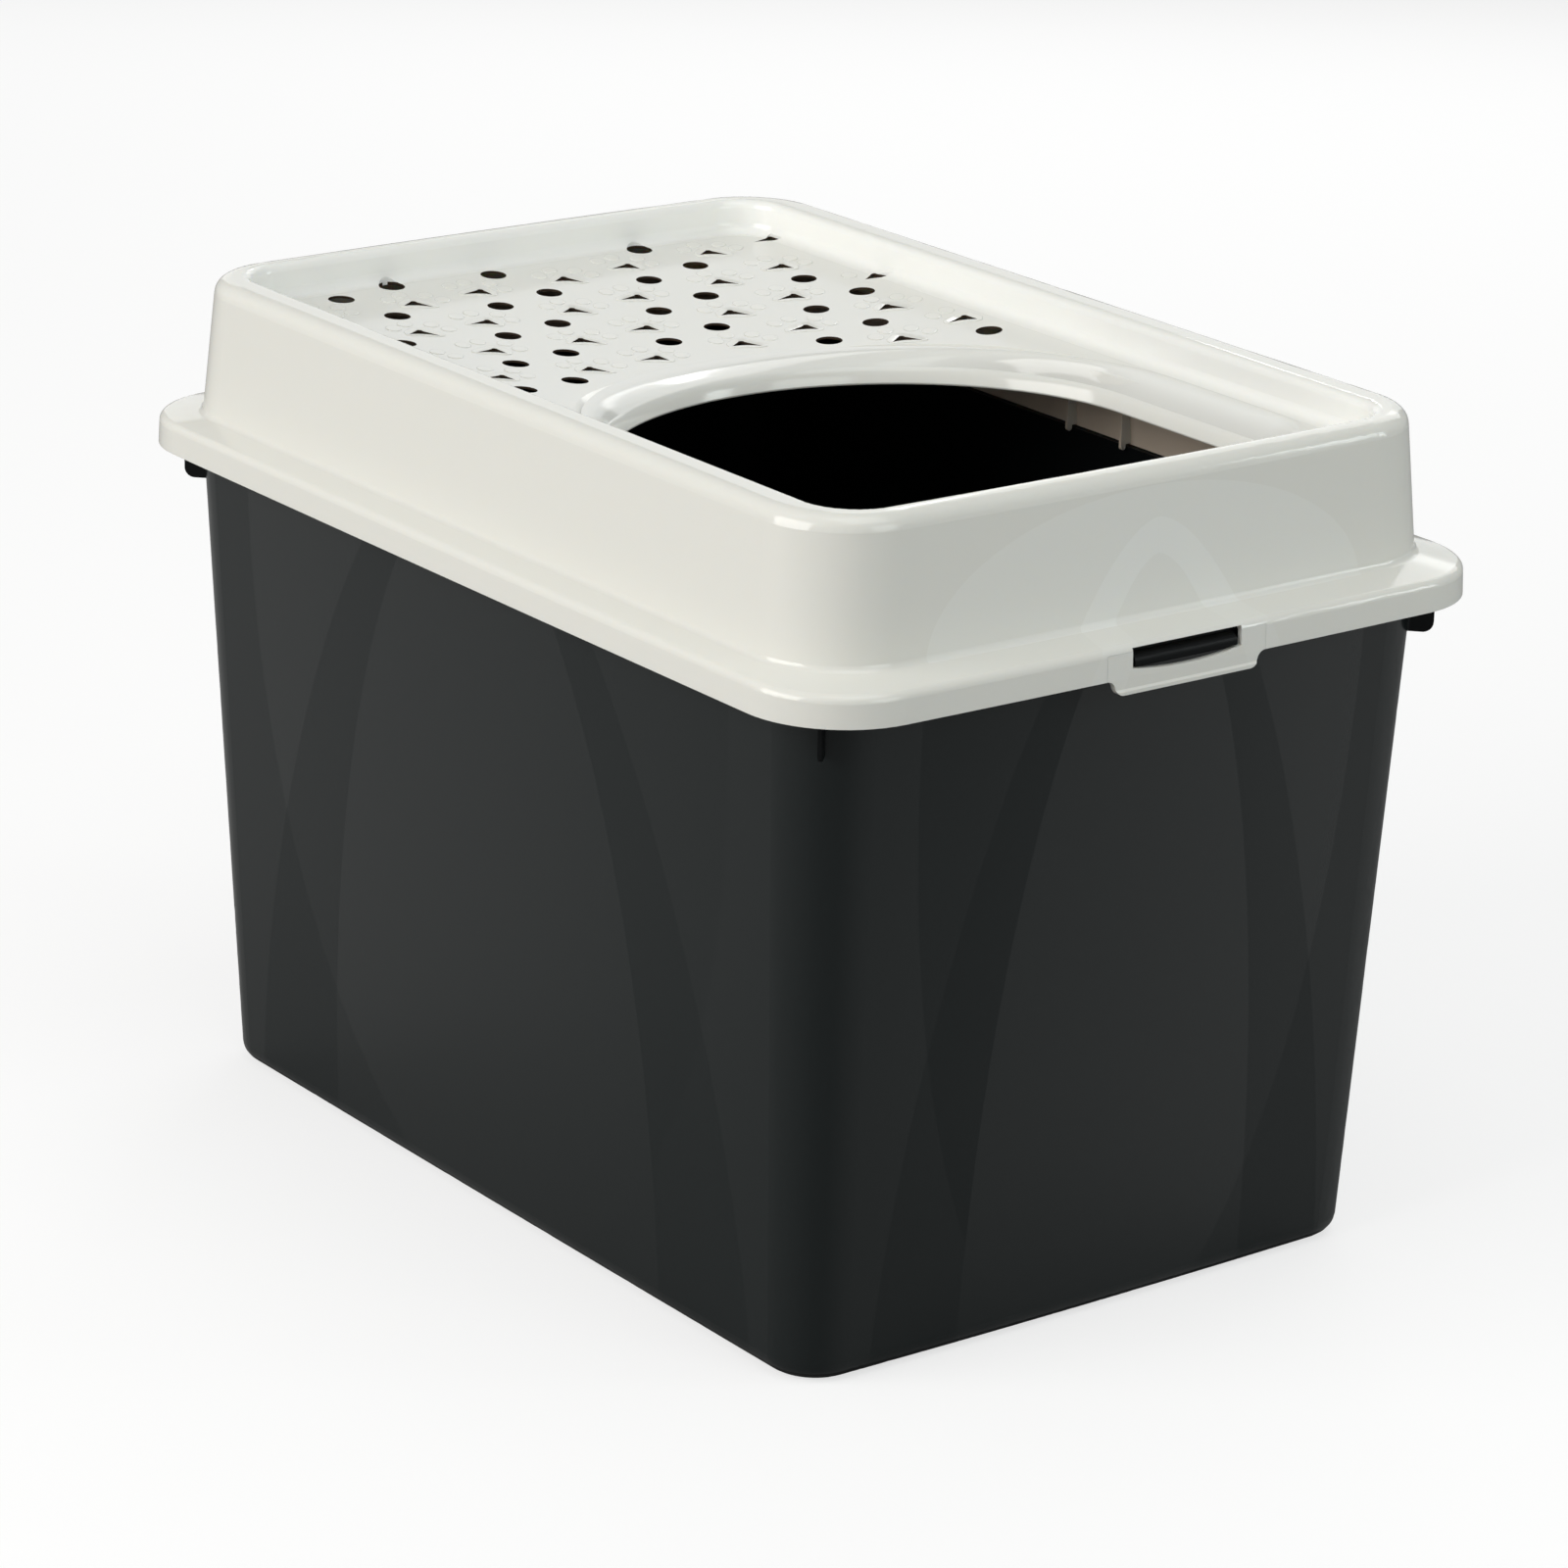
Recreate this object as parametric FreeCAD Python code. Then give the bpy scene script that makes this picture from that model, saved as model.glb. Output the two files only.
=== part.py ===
"""Top-entry litter box: an open tub under a perforated lid that clips on with two flexing skirt tabs.

Millimetres. X runs along the length with the front tab at +X, Y across the width and Z up.
The origin is on the floor under the middle of the box.
"""
import FreeCAD, Part

import math
import os
from typing import NamedTuple

# Overall size, over the finger lips of the two tabs
part_length = 572.0
part_width = 393.0
part_height = 404.0

# Lid skirt, the band that hangs round the tub rim
lid_wall = 2.5
skirt_height = 14.0
skirt_taper = 0.6
skirt_corner = 48.0
skirt_edge_round = 4.0
end_bow = 2.2
side_bow = 0.5

# Lid flange and hood, the raised wall inside the skirt
flange_drop = 4.0
flange_end_width = 20.1
flange_side_width = 14.9
hood_height = 66.0
hood_corner = 42.0
hood_end_taper = 4.5
hood_side_taper = 5.1
hood_foot_round = 3.0
hood_top_round = 8.0
crown_inner_round = 4.5
crown_end_width = 13.0
crown_side_width = 19.0

# Sunken deck inside the hood, dished towards its middle
deck_wall = 1.2
deck_depth = 17.0
deck_sag = 10.0
deck_corner = 24.0
deck_wall_taper = 1.5
deck_edge_round = 6.0

# Entry opening: half an ellipse at the rear, straight sides, rounded front corners
entry_side_margin = 19.4
entry_front_margin = 27.5
entry_rear_reach = 118.0
entry_centre = 78.0
entry_front_corner = 45.0
entry_depth = 19.5
collar_height = 7.0
collar_flare = 4.0
roll_height = 11.5
roll_rear_reach = 62.0
roll_side_reach = 9.5
roll_shift = 30.0
roll_waist_height_share = 0.62
roll_waist_side_share = 0.3

# Guide fins inside the long walls of the hood, which centre the lid in the tub
fin_thickness = 1.6
fin_depth = 3.0
fin_gap = 0.8
fin_hang = 1.5
fin_rise = 30.0
fin_slope = 12.0
fin_offset = -5.0
fin_spacing = 41.0

# Perforations: rows of round holes between rows of paw pads
hole_diameter = 13.0
hole_row_step = 51.7
hole_row_gap = 77.8
hole_row_angle = -29.8
hole_cross_angle = 58.5
pattern_end_inset = 9.0
pattern_side_offset = 80.5
hole_end_margin = 7.0
hole_side_margin = 17.0
pad_end_margin = 21.0
pad_side_margin = 4.0
entry_margin = 30.0
hole_climb = 4.0
hole_motif_shares = ((0.0, 0.0), (0.5, 1 / 3))
pad_motif_shares = ((0.046, 0.483), (0.567, 0.865))
pad_turns = (-1.3, 5.8)
pad_sides = (1, -1)
pad_length = 8.6
pad_width = 14.8
pad_hollow = 1.6
pad_nose_shift = 2.5
pad_nose_round_share = 0.1

# Flexing tabs in the skirt, with the slot that takes the catch
tab_offset = 5.0
tab_top_width = 90.0
tab_bottom_width = 72.0
tab_drop = 7.2
tab_lip_out = 0.8
tab_lip_height = 1.6
tab_lip_slope = 1.0
slot_width = 62.0
slot_rise = 4.0
slot_top_inset = 1.0
slot_bow = 2.5
tab_slit = 0.1
tab_arm_top_inset = 2.5

# Tub
tub_wall = 2.5
tub_floor = 3.0
tub_end_inset = 22.8
tub_side_inset = 18.3
tub_end_taper = 16.1
tub_side_taper = 13.8
tub_top_corner = 33.0
tub_base_corner = 25.5
tub_base_round = 10.0
base_recess_inset = 26.0
base_recess_corner = 16.0
base_recess_depth = 1.5

# Tub rim and its catches
seat_gap = 0.5
rim_outer_share = 0.14
rim_inner_share = 0.93
rim_lip_rise = 2.0
rim_round = 1.5
catch_width = 58.0
catch_nose_inset = 1.0
catch_gap = 0.4
catch_nose_height = 1.6

# Radial ribs under the four rim corners
rib_thickness = 1.8
rib_reach = 9.5
rib_drop = 20.0
rib_round = 5.0
rib_root = 6.0

# Working values
overrun = 30.0
level_tolerance = 0.05


class Station(NamedTuple):
    """A bowed rounded rectangle at one height."""

    half_x: float
    half_y: float
    corner: float
    z: float


class Entry(NamedTuple):
    """An entry outline at one height."""

    half_width: float
    rear_reach: float
    centre: float
    front: float
    front_corner: float
    z: float


def between(first: Station, second: Station, share: float) -> Station:
    """Return the station at a share of the way from the first to the second."""
    return Station(*[a + (b - a) * share for a, b in zip(first, second)])


def offset(station: Station, out: float, up: float = 0) -> Station:
    """Return the station grown sideways and lifted."""
    return Station(station.half_x + out, station.half_y + out, station.corner + out, station.z + up)


def at_height(station: Station, z: float) -> Station:
    """Return the same outline at another height."""
    return station._replace(z=z)


# Heights and outlines that several pieces share
flange_foot_z = part_height - hood_height
skirt_top_z = flange_foot_z - flange_drop
skirt_bottom_z = skirt_top_z - skirt_height
tab_bottom_z = skirt_bottom_z - tab_drop
deck_edge_z = part_height - deck_depth
entry_edge_z = deck_edge_z - entry_depth

skirt_half_x = part_length / 2 - tab_lip_out
skirt_half_y = part_width / 2

skirt_foot = Station(skirt_half_x, skirt_half_y, skirt_corner, skirt_bottom_z)
skirt_top = offset(at_height(skirt_foot, skirt_top_z), -skirt_taper)
hood_foot = Station(
    skirt_top.half_x - flange_end_width, skirt_top.half_y - flange_side_width, hood_corner, flange_foot_z
)
hood_top = Station(
    hood_foot.half_x - hood_end_taper, hood_foot.half_y - hood_side_taper, hood_corner, part_height
)
deck_rim = Station(
    hood_top.half_x - crown_end_width, hood_top.half_y - crown_side_width, deck_corner, part_height
)
deck_foot = offset(at_height(deck_rim, deck_edge_z), -deck_wall_taper)
entry_half_width = deck_foot.half_y - entry_side_margin
entry_front = deck_foot.half_x - entry_front_margin

tub_at_skirt = Station(
    skirt_half_x - tub_end_inset, skirt_half_y - tub_side_inset, tub_top_corner, skirt_bottom_z
)
tub_base = Station(
    tub_at_skirt.half_x - tub_end_taper, tub_at_skirt.half_y - tub_side_taper, tub_base_corner, 0
)

skirt_inner_top = offset(skirt_top, -lid_wall, -lid_wall)
hood_inner_foot = offset(hood_foot, -lid_wall, -lid_wall)
rim_edge = offset(between(skirt_inner_top, hood_inner_foot, rim_outer_share), 0, -seat_gap)
rim_inner = offset(between(skirt_inner_top, hood_inner_foot, rim_inner_share), 0, -seat_gap)

slot_bottom_z = skirt_bottom_z + slot_rise
slot_top_z = skirt_top_z - slot_top_inset
arm_top_z = skirt_top_z - tab_arm_top_inset


def loop(station: Station) -> Part.Wire:
    """Draw four shallow side arcs joined by tangent corner arcs."""
    end_radius = (station.half_y ** 2 + end_bow ** 2) / (2 * end_bow)
    side_radius = (station.half_x ** 2 + side_bow ** 2) / (2 * side_bow)
    end_x = station.half_x - end_radius
    side_y = station.half_y - side_radius
    corner_y = station.half_y - station.corner
    for _ in range(20):
        corner_x = end_x + math.sqrt((end_radius - station.corner) ** 2 - corner_y ** 2)
        corner_y = side_y + math.sqrt((side_radius - station.corner) ** 2 - corner_x ** 2)
    end_angle = math.atan2(corner_y, corner_x - end_x)
    side_angle = math.atan2(corner_y - side_y, corner_x)
    middle_angle = (end_angle + side_angle) / 2
    end_point = (end_x + end_radius * math.cos(end_angle), end_radius * math.sin(end_angle))
    side_point = (side_radius * math.cos(side_angle), side_y + side_radius * math.sin(side_angle))
    corner_point = (
        corner_x + station.corner * math.cos(middle_angle),
        corner_y + station.corner * math.sin(middle_angle),
    )

    def place(point: tuple, sign_x: int, sign_y: int) -> FreeCAD.Vector:
        return FreeCAD.Vector(sign_x * point[0], sign_y * point[1], station.z)

    end_middle = (station.half_x, 0)
    side_middle = (0, station.half_y)
    trail = [(end_point, 1, -1), (end_middle, 1, 1)]
    trail += [(end_point, 1, 1), (corner_point, 1, 1), (side_point, 1, 1), (side_middle, 1, 1)]
    trail += [(side_point, -1, 1), (corner_point, -1, 1), (end_point, -1, 1), (end_middle, -1, 1)]
    trail += [(end_point, -1, -1), (corner_point, -1, -1), (side_point, -1, -1), (side_middle, 1, -1)]
    trail += [(side_point, 1, -1), (corner_point, 1, -1), (end_point, 1, -1)]
    points = [place(*stop) for stop in trail]
    arcs = [Part.Arc(*points[i:i + 3]).toShape() for i in range(0, len(points) - 1, 2)]
    return Part.Wire(arcs)


def loft(stations: list) -> Part.Shape:
    """Carry a straight-sided solid through the stations in order."""
    return Part.makeLoft([loop(station) for station in stations], True, True)


def level_edges(shape: Part.Shape, z: float) -> list:
    """Return the edges that lie flat at one height."""
    return [
        edge for edge in shape.Edges
        if abs(edge.BoundBox.ZMin - z) < level_tolerance and abs(edge.BoundBox.ZMax - z) < level_tolerance
    ]


def rounded(shape: Part.Shape, z: float, radius: float) -> Part.Shape:
    """Round every edge of the shape at one height."""
    return shape.makeFillet(radius, level_edges(shape, z))


def prism(wire: Part.Wire, direction: FreeCAD.Vector) -> Part.Shape:
    """Extrude a closed flat wire."""
    return Part.Face(wire).extrude(direction)


def line(start: FreeCAD.Vector, end: FreeCAD.Vector) -> Part.Shape:
    """Draw a straight edge."""
    return Part.LineSegment(start, end).toShape()


def arc(start: FreeCAD.Vector, middle: FreeCAD.Vector, end: FreeCAD.Vector) -> Part.Shape:
    """Draw a circular edge through three points."""
    return Part.Arc(start, middle, end).toShape()


def both_ends(shape: Part.Shape) -> list:
    """Return the front piece and its mirror image at the rear."""
    return [shape, shape.mirror(FreeCAD.Vector(0, 0, 0), FreeCAD.Vector(1, 0, 0))]


# Lid


def lid_outside() -> Part.Shape:
    """Skirt, sloping flange and hood as one block with its rounded edges."""
    block = loft([skirt_foot, skirt_top, hood_foot, hood_top])
    block = rounded(block, skirt_top.z, skirt_edge_round)
    block = rounded(block, hood_foot.z, hood_foot_round)
    return rounded(block, hood_top.z, hood_top_round)


def lid_inside() -> Part.Shape:
    """The hollow under the skirt, flange and hood, one wall inside their faces."""
    skirt_inner_foot = offset(skirt_foot, -lid_wall, -overrun)
    hood_inner_top = offset(hood_top, -lid_wall, -lid_wall)
    block = loft([skirt_inner_foot, skirt_inner_top, hood_inner_foot, hood_inner_top])
    block = rounded(block, skirt_inner_top.z, skirt_edge_round - lid_wall)
    return rounded(block, hood_inner_top.z, hood_top_round - lid_wall)


def above_dish(lower: float) -> Part.Shape:
    """The space over the dished deck; its sag fades to nothing along all four walls.

    Height is the edge height less sag times (1 - u squared) times (1 - v squared), where u and v run
    from -1 to 1 between the walls.
    """
    reach_x = deck_foot.half_x + overrun
    reach_y = deck_foot.half_y + overrun
    spread_u = (reach_x / deck_foot.half_x) ** 2
    spread_v = (reach_y / deck_foot.half_y) ** 2
    fade_u = (1 - spread_u, 1 + spread_u, 1 - spread_u)
    fade_v = (1 - spread_v, 1 + spread_v, 1 - spread_v)

    def pole(i: int, j: int) -> FreeCAD.Vector:
        drop = lower + deck_sag * fade_u[i + 1] * fade_v[j + 1]
        return FreeCAD.Vector(reach_x * i, reach_y * j, deck_edge_z - drop)

    poles = [[pole(i, j) for j in (-1, 0, 1)] for i in (-1, 0, 1)]
    dish = Part.BSplineSurface()
    dish.buildFromPolesMultsKnots(poles, (3, 3), (3, 3), (0, 1), (0, 1), False, False, 2, 2)
    return dish.toShape().extrude(FreeCAD.Vector(0, 0, part_height))


def deck_pocket(out: float, down: float) -> Part.Shape:
    """The sunken space inside the hood, grown outwards by one amount and downwards by another."""
    slope = deck_wall_taper / deck_depth
    low = offset(deck_foot, out - slope * overrun, -overrun)
    high = offset(deck_rim, out + slope * overrun, overrun)
    return loft([low, high]).common(above_dish(down))


def rounded_pocket() -> Part.Shape:
    """The sunken space with a rounded corner between its walls and the dished deck."""
    pocket = deck_pocket(0, 0)
    deck = min(pocket.Faces, key=lambda face: face.CenterOfMass.z)
    return pocket.makeFillet(deck_edge_round, deck.Edges)


def entry_loop(entry: Entry) -> Part.Wire:
    """Draw half an ellipse at the rear, two straight sides and a front edge with rounded corners."""
    quarter = math.pi / 2
    unit_arc = Part.ArcOfCircle(Part.Circle(), quarter, 3 * quarter).toShape()
    stretch = FreeCAD.Matrix()
    stretch.scale(entry.rear_reach, entry.half_width, 1)
    stretch.move(FreeCAD.Vector(entry.centre, 0, entry.z))
    rear = unit_arc.transformGeometry(stretch).Edges[0]
    bend_x = entry.front - entry.front_corner
    bend_y = entry.half_width - entry.front_corner
    diagonal = entry.front_corner / math.sqrt(2)

    def at(x: float, y: float) -> FreeCAD.Vector:
        return FreeCAD.Vector(x, y, entry.z)

    right_side = at(bend_x, -entry.half_width)
    right_front = at(entry.front, -bend_y)
    left_front = at(entry.front, bend_y)
    left_side = at(bend_x, entry.half_width)
    return Part.Wire([
        rear,
        line(at(entry.centre, -entry.half_width), right_side),
        arc(right_side, at(bend_x + diagonal, -bend_y - diagonal), right_front),
        line(right_front, left_front),
        arc(left_front, at(bend_x + diagonal, bend_y + diagonal), left_side),
        line(left_side, at(entry.centre, entry.half_width)),
    ])


def grown_entry(entry: Entry, out: float, up: float) -> Entry:
    """Return an entry outline grown sideways and lifted."""
    return Entry(
        entry.half_width + out, entry.rear_reach + out, entry.centre, entry.front + out,
        entry.front_corner + out, entry.z + up,
    )


def entry_stations(out: float) -> list:
    """The entry's edge, collar crease, roll waist and roll top, grown by one amount."""
    edge = Entry(
        entry_half_width, entry_rear_reach, entry_centre, entry_front, entry_front_corner, entry_edge_z
    )
    crease = grown_entry(edge, collar_flare, collar_height)
    roll = Entry(
        crease.half_width + roll_side_reach, crease.rear_reach + roll_rear_reach + roll_shift,
        crease.centre + roll_shift, crease.front + roll_side_reach, crease.front_corner + roll_side_reach,
        crease.z + roll_height,
    )
    side = Entry(*[a + (b - a) * roll_waist_side_share for a, b in zip(crease, roll)])
    rear = Entry(*[a + (b - a) * roll_waist_height_share for a, b in zip(crease, roll)])
    waist = side._replace(rear_reach=rear.rear_reach, centre=rear.centre, z=rear.z)
    return [
        grown_entry(edge, out, 0), grown_entry(crease, out, -out / 2), grown_entry(waist, out, -out),
        grown_entry(roll, out, -out),
    ]


def entry_lip() -> Part.Shape:
    """The collar and roll as a block, still without its hole."""
    return Part.makeLoft([entry_loop(entry) for entry in entry_stations(lid_wall)], True, True)


def entry_hole() -> Part.Shape:
    """The space inside the collar and roll, run on below and above the lid."""
    stations = entry_stations(0)
    below = grown_entry(stations[0], 0, -overrun)
    above = grown_entry(stations[-1], 0, overrun)
    return Part.makeLoft([entry_loop(entry) for entry in [below] + stations + [above]], True, True)


def guide_fins() -> list:
    """Thin upright fins on the hood's long walls that hang a little way into the tub's mouth."""
    low_z = rim_inner.z - fin_hang
    tip_z = low_z + fin_depth / 2
    step_z = hood_inner_foot.z + seat_gap
    top_z = step_z + fin_rise
    outer_y = tub_station(low_z).half_y - tub_wall - fin_gap
    inner_y = outer_y - fin_depth

    def wall_y(z: float) -> float:
        return between(hood_foot, hood_top, (z - hood_foot.z) / hood_height).half_y - lid_wall / 2

    def at(y: float, z: float) -> FreeCAD.Vector:
        return FreeCAD.Vector(fin_offset, y, z)

    outline = Part.Wire([
        arc(at(inner_y, tip_z), at((inner_y + outer_y) / 2, low_z), at(outer_y, tip_z)),
        line(at(outer_y, tip_z), at(outer_y, step_z)),
        line(at(outer_y, step_z), at(wall_y(step_z), step_z)),
        line(at(wall_y(step_z), step_z), at(wall_y(top_z), top_z)),
        line(at(wall_y(top_z), top_z), at(inner_y, top_z - fin_slope)),
        line(at(inner_y, top_z - fin_slope), at(inner_y, tip_z)),
    ])
    fin = prism(outline, FreeCAD.Vector(fin_thickness, 0, 0))
    far = [fin, fin.translated(FreeCAD.Vector(fin_spacing, 0, 0))]
    near = [each.mirror(FreeCAD.Vector(0, 0, 0), FreeCAD.Vector(0, 1, 0)) for each in far]
    return far + near


def turned(angle: float, length: float) -> FreeCAD.Vector:
    """Return a flat vector of one length at an angle in degrees."""
    return FreeCAD.Vector(length * math.cos(math.radians(angle)), length * math.sin(math.radians(angle)), 0)


def pattern_places(share_pair: tuple, end_margin: float, side_margin: float) -> list:
    """Repeat one motif place over the lattice and keep what lies on the deck behind the entry."""
    start = FreeCAD.Vector(pattern_end_inset - deck_rim.half_x, pattern_side_offset, 0)
    along = turned(hole_row_angle, hole_row_step)
    across = turned(hole_cross_angle, hole_row_gap)
    count = math.ceil(part_length / min(hole_row_step, hole_row_gap))
    kept = []
    for i in range(-count, count + 1):
        for j in range(-count, count + 1):
            place = start + along * (i + share_pair[0]) + across * (j + share_pair[1])
            on_deck = (
                abs(place.x) < deck_rim.half_x - end_margin and abs(place.y) < deck_rim.half_y - side_margin
            )
            ahead = min(place.x - entry_centre, 0) / (entry_rear_reach + entry_margin)
            aside = place.y / (entry_half_width + entry_margin)
            behind_entry = place.x < entry_centre and ahead ** 2 + aside ** 2 > 1
            if on_deck and behind_entry:
                kept.append(place)
    return kept


def pad_outline(side: int) -> Part.Wire:
    """Draw a paw pad with straight flanks, a round nose towards +X set to one side and a hollow heel."""
    heel_x = -pad_length / 2
    nose_x = pad_length / 2
    nose_y = side * pad_nose_shift
    half = pad_width / 2
    nose_half = pad_width * pad_nose_round_share
    heel_left = FreeCAD.Vector(heel_x, half, 0)
    heel_right = FreeCAD.Vector(heel_x, -half, 0)
    nose_left = FreeCAD.Vector(nose_x - nose_half, nose_y + nose_half, 0)
    nose_right = FreeCAD.Vector(nose_x - nose_half, nose_y - nose_half, 0)
    return Part.Wire([
        line(heel_right, nose_right),
        arc(nose_right, FreeCAD.Vector(nose_x, nose_y, 0), nose_left),
        line(nose_left, heel_left),
        arc(heel_left, FreeCAD.Vector(heel_x + pad_hollow, 0, 0), heel_right),
    ])


def perforations() -> Part.Shape:
    """All round holes and paw pads as upright cutters through the deck."""
    low = FreeCAD.Vector(0, 0, entry_edge_z - lid_wall)
    rise = FreeCAD.Vector(0, 0, deck_edge_z + hole_climb - low.z)
    cutters = []
    for share_pair in hole_motif_shares:
        for place in pattern_places(share_pair, hole_end_margin, hole_side_margin):
            cutters.append(Part.makeCylinder(hole_diameter / 2, rise.z, place + low))
    for share_pair, turn, side in zip(pad_motif_shares, pad_turns, pad_sides):
        pad = prism(pad_outline(side), rise)
        pad.rotate(FreeCAD.Vector(0, 0, 0), FreeCAD.Vector(0, 0, 1), hole_row_angle + 180 + turn)
        for place in pattern_places(share_pair, pad_end_margin, pad_side_margin):
            cutters.append(pad.translated(place + low))
    return Part.makeCompound(cutters)


def front_point(y: float, z: float) -> FreeCAD.Vector:
    """Return a point, measured from the tab's middle, on the plane where cuts through the skirt start."""
    return FreeCAD.Vector(skirt_half_x - lid_wall - overrun / 2, tab_offset + y, z)


def through_skirt(wire: Part.Wire) -> Part.Shape:
    """Carry a flat outline forwards through the skirt."""
    return prism(wire, FreeCAD.Vector(lid_wall + overrun, 0, 0))


def tab_window() -> Part.Shape:
    """The window in the skirt that the tab sits in, one slit wider than the tab."""
    half = tab_top_width / 2 + tab_slit
    low_z = tab_bottom_z - overrun
    high_z = arm_top_z + tab_slit
    corners = [(-half, low_z), (half, low_z), (half, high_z), (-half, high_z), (-half, low_z)]
    return through_skirt(Part.makePolygon([front_point(*corner) for corner in corners]))


def tab_form() -> Part.Shape:
    """The tab seen from the front: square top and a narrower foot, joined by double curves."""
    half = tab_top_width / 2
    foot_half = tab_bottom_width / 2
    run = half - foot_half
    bend = (run ** 2 + tab_drop ** 2) / (4 * tab_drop)
    swing = math.atan2(tab_drop, run)
    reach = bend * math.sin(swing)
    dip = bend - bend * math.cos(swing)
    middle_y = (half + foot_half) / 2
    middle_z = (skirt_bottom_z + tab_bottom_z) / 2
    right = [
        (foot_half, tab_bottom_z), (foot_half + reach, tab_bottom_z + dip), (middle_y, middle_z),
        (half - reach, skirt_bottom_z - dip), (half, skirt_bottom_z),
    ]
    up = [front_point(y, z) for y, z in right]
    down = [front_point(-y, z) for y, z in reversed(right)]
    top_right = front_point(half, arm_top_z)
    top_left = front_point(-half, arm_top_z)
    return through_skirt(Part.Wire([
        arc(*up[:3]),
        arc(*up[2:]),
        line(up[-1], top_right),
        line(top_right, top_left),
        line(top_left, down[0]),
        arc(*down[:3]),
        arc(*down[2:]),
        line(down[-1], up[0]),
    ]))


def slot_window() -> Part.Shape:
    """The slot for the catch: straight top and ends, lower edge bowed down."""
    half = slot_width / 2
    right_foot = front_point(half, slot_bottom_z)
    right_top = front_point(half, slot_top_z)
    left_top = front_point(-half, slot_top_z)
    left_foot = front_point(-half, slot_bottom_z)
    return through_skirt(Part.Wire([
        line(right_foot, right_top),
        line(right_top, left_top),
        line(left_top, left_foot),
        arc(left_foot, front_point(0, slot_bottom_z - slot_bow), right_foot),
    ]))


def make_tab() -> Part.Shape:
    """The front tab: a piece of skirt with the slot, a lower bar and a finger lip."""
    lip_foot = offset(at_height(skirt_foot, tab_bottom_z), tab_lip_out)
    lip_top = offset(lip_foot, 0, tab_lip_height)
    lip_end = offset(at_height(skirt_foot, lip_top.z), 0, tab_lip_slope)
    outside = loft([lip_foot, lip_top, lip_end, skirt_foot, skirt_top, hood_foot])
    outside = rounded(outside, skirt_top.z, skirt_edge_round)
    blank = outside.cut(lid_inside())
    return blank.common(tab_form()).cut(slot_window())


def make_lid() -> Part.Shape:
    """Skirt, hood, dished deck, entry lip, guide fins, perforations and the two tab windows."""
    shell = lid_outside().cut(lid_inside().cut(deck_pocket(lid_wall, deck_wall)))
    lid = shell.fuse([entry_lip()] + guide_fins()).cut(rounded_pocket()).cut(entry_hole())
    lid = lid.makeFillet(crown_inner_round, inner_crown_edges(lid))
    windows = both_ends(tab_window()) + both_ends(slot_window())
    return lid.cut(windows).cut(perforations())


def inner_crown_edges(lid: Part.Shape) -> list:
    """Return the edges where the crown meets the sunken walls."""
    limit = deck_rim.half_x + level_tolerance
    level = level_edges(lid, part_height)
    return [edge for edge in level if edge.BoundBox.XMax < limit and edge.BoundBox.XMin > -limit]


# Tub


def tub_station(z: float) -> Station:
    """Return the tub's outer outline at one height."""
    return at_height(between(tub_base, tub_at_skirt, z / skirt_bottom_z), z)


def tub_rim() -> Part.Shape:
    """The outward rim with its turned-down lip, still closed over the middle."""
    lip_z = skirt_bottom_z + rim_lip_rise
    form = loft([at_height(rim_edge, lip_z), rim_edge, rim_inner])
    form = rounded(form, rim_edge.z, rim_round)
    under_edge = offset(rim_edge, -tub_wall, -tub_wall)
    under_inner = offset(rim_inner, -tub_wall, -tub_wall)
    return form.cut(loft([at_height(under_edge, lip_z - overrun), under_edge, under_inner]))


def corner_ribs() -> list:
    """One thin upright rib under each rim corner, pointing out along the diagonal."""
    top = tub_station(skirt_bottom_z)
    centre = FreeCAD.Vector(top.half_x - top.corner, top.half_y - top.corner, 0)
    low_z = skirt_bottom_z - rib_drop
    high_z = rim_edge.z - tub_wall / 2
    inner = top.corner - rib_root
    outer = top.corner + rib_reach
    bend = rib_round / math.sqrt(2)

    def at(x: float, z: float) -> FreeCAD.Vector:
        return FreeCAD.Vector(x, -rib_thickness / 2, z)

    outline = Part.Wire([
        line(at(inner, low_z), at(outer - rib_round, low_z)),
        arc(
            at(outer - rib_round, low_z), at(outer - rib_round + bend, low_z + rib_round - bend),
            at(outer, low_z + rib_round),
        ),
        line(at(outer, low_z + rib_round), at(outer, high_z)),
        line(at(outer, high_z), at(inner, high_z)),
        line(at(inner, high_z), at(inner, low_z)),
    ])
    ribs = []
    for sign_x, sign_y in ((1, 1), (-1, 1), (-1, -1), (1, -1)):
        rib = prism(outline, FreeCAD.Vector(0, rib_thickness, 0))
        angle = math.degrees(math.atan2(sign_y, sign_x))
        rib.rotate(FreeCAD.Vector(0, 0, 0), FreeCAD.Vector(0, 0, 1), angle)
        rib.translate(FreeCAD.Vector(sign_x * centre.x, sign_y * centre.y, 0))
        ribs.append(rib)
    return ribs


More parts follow.
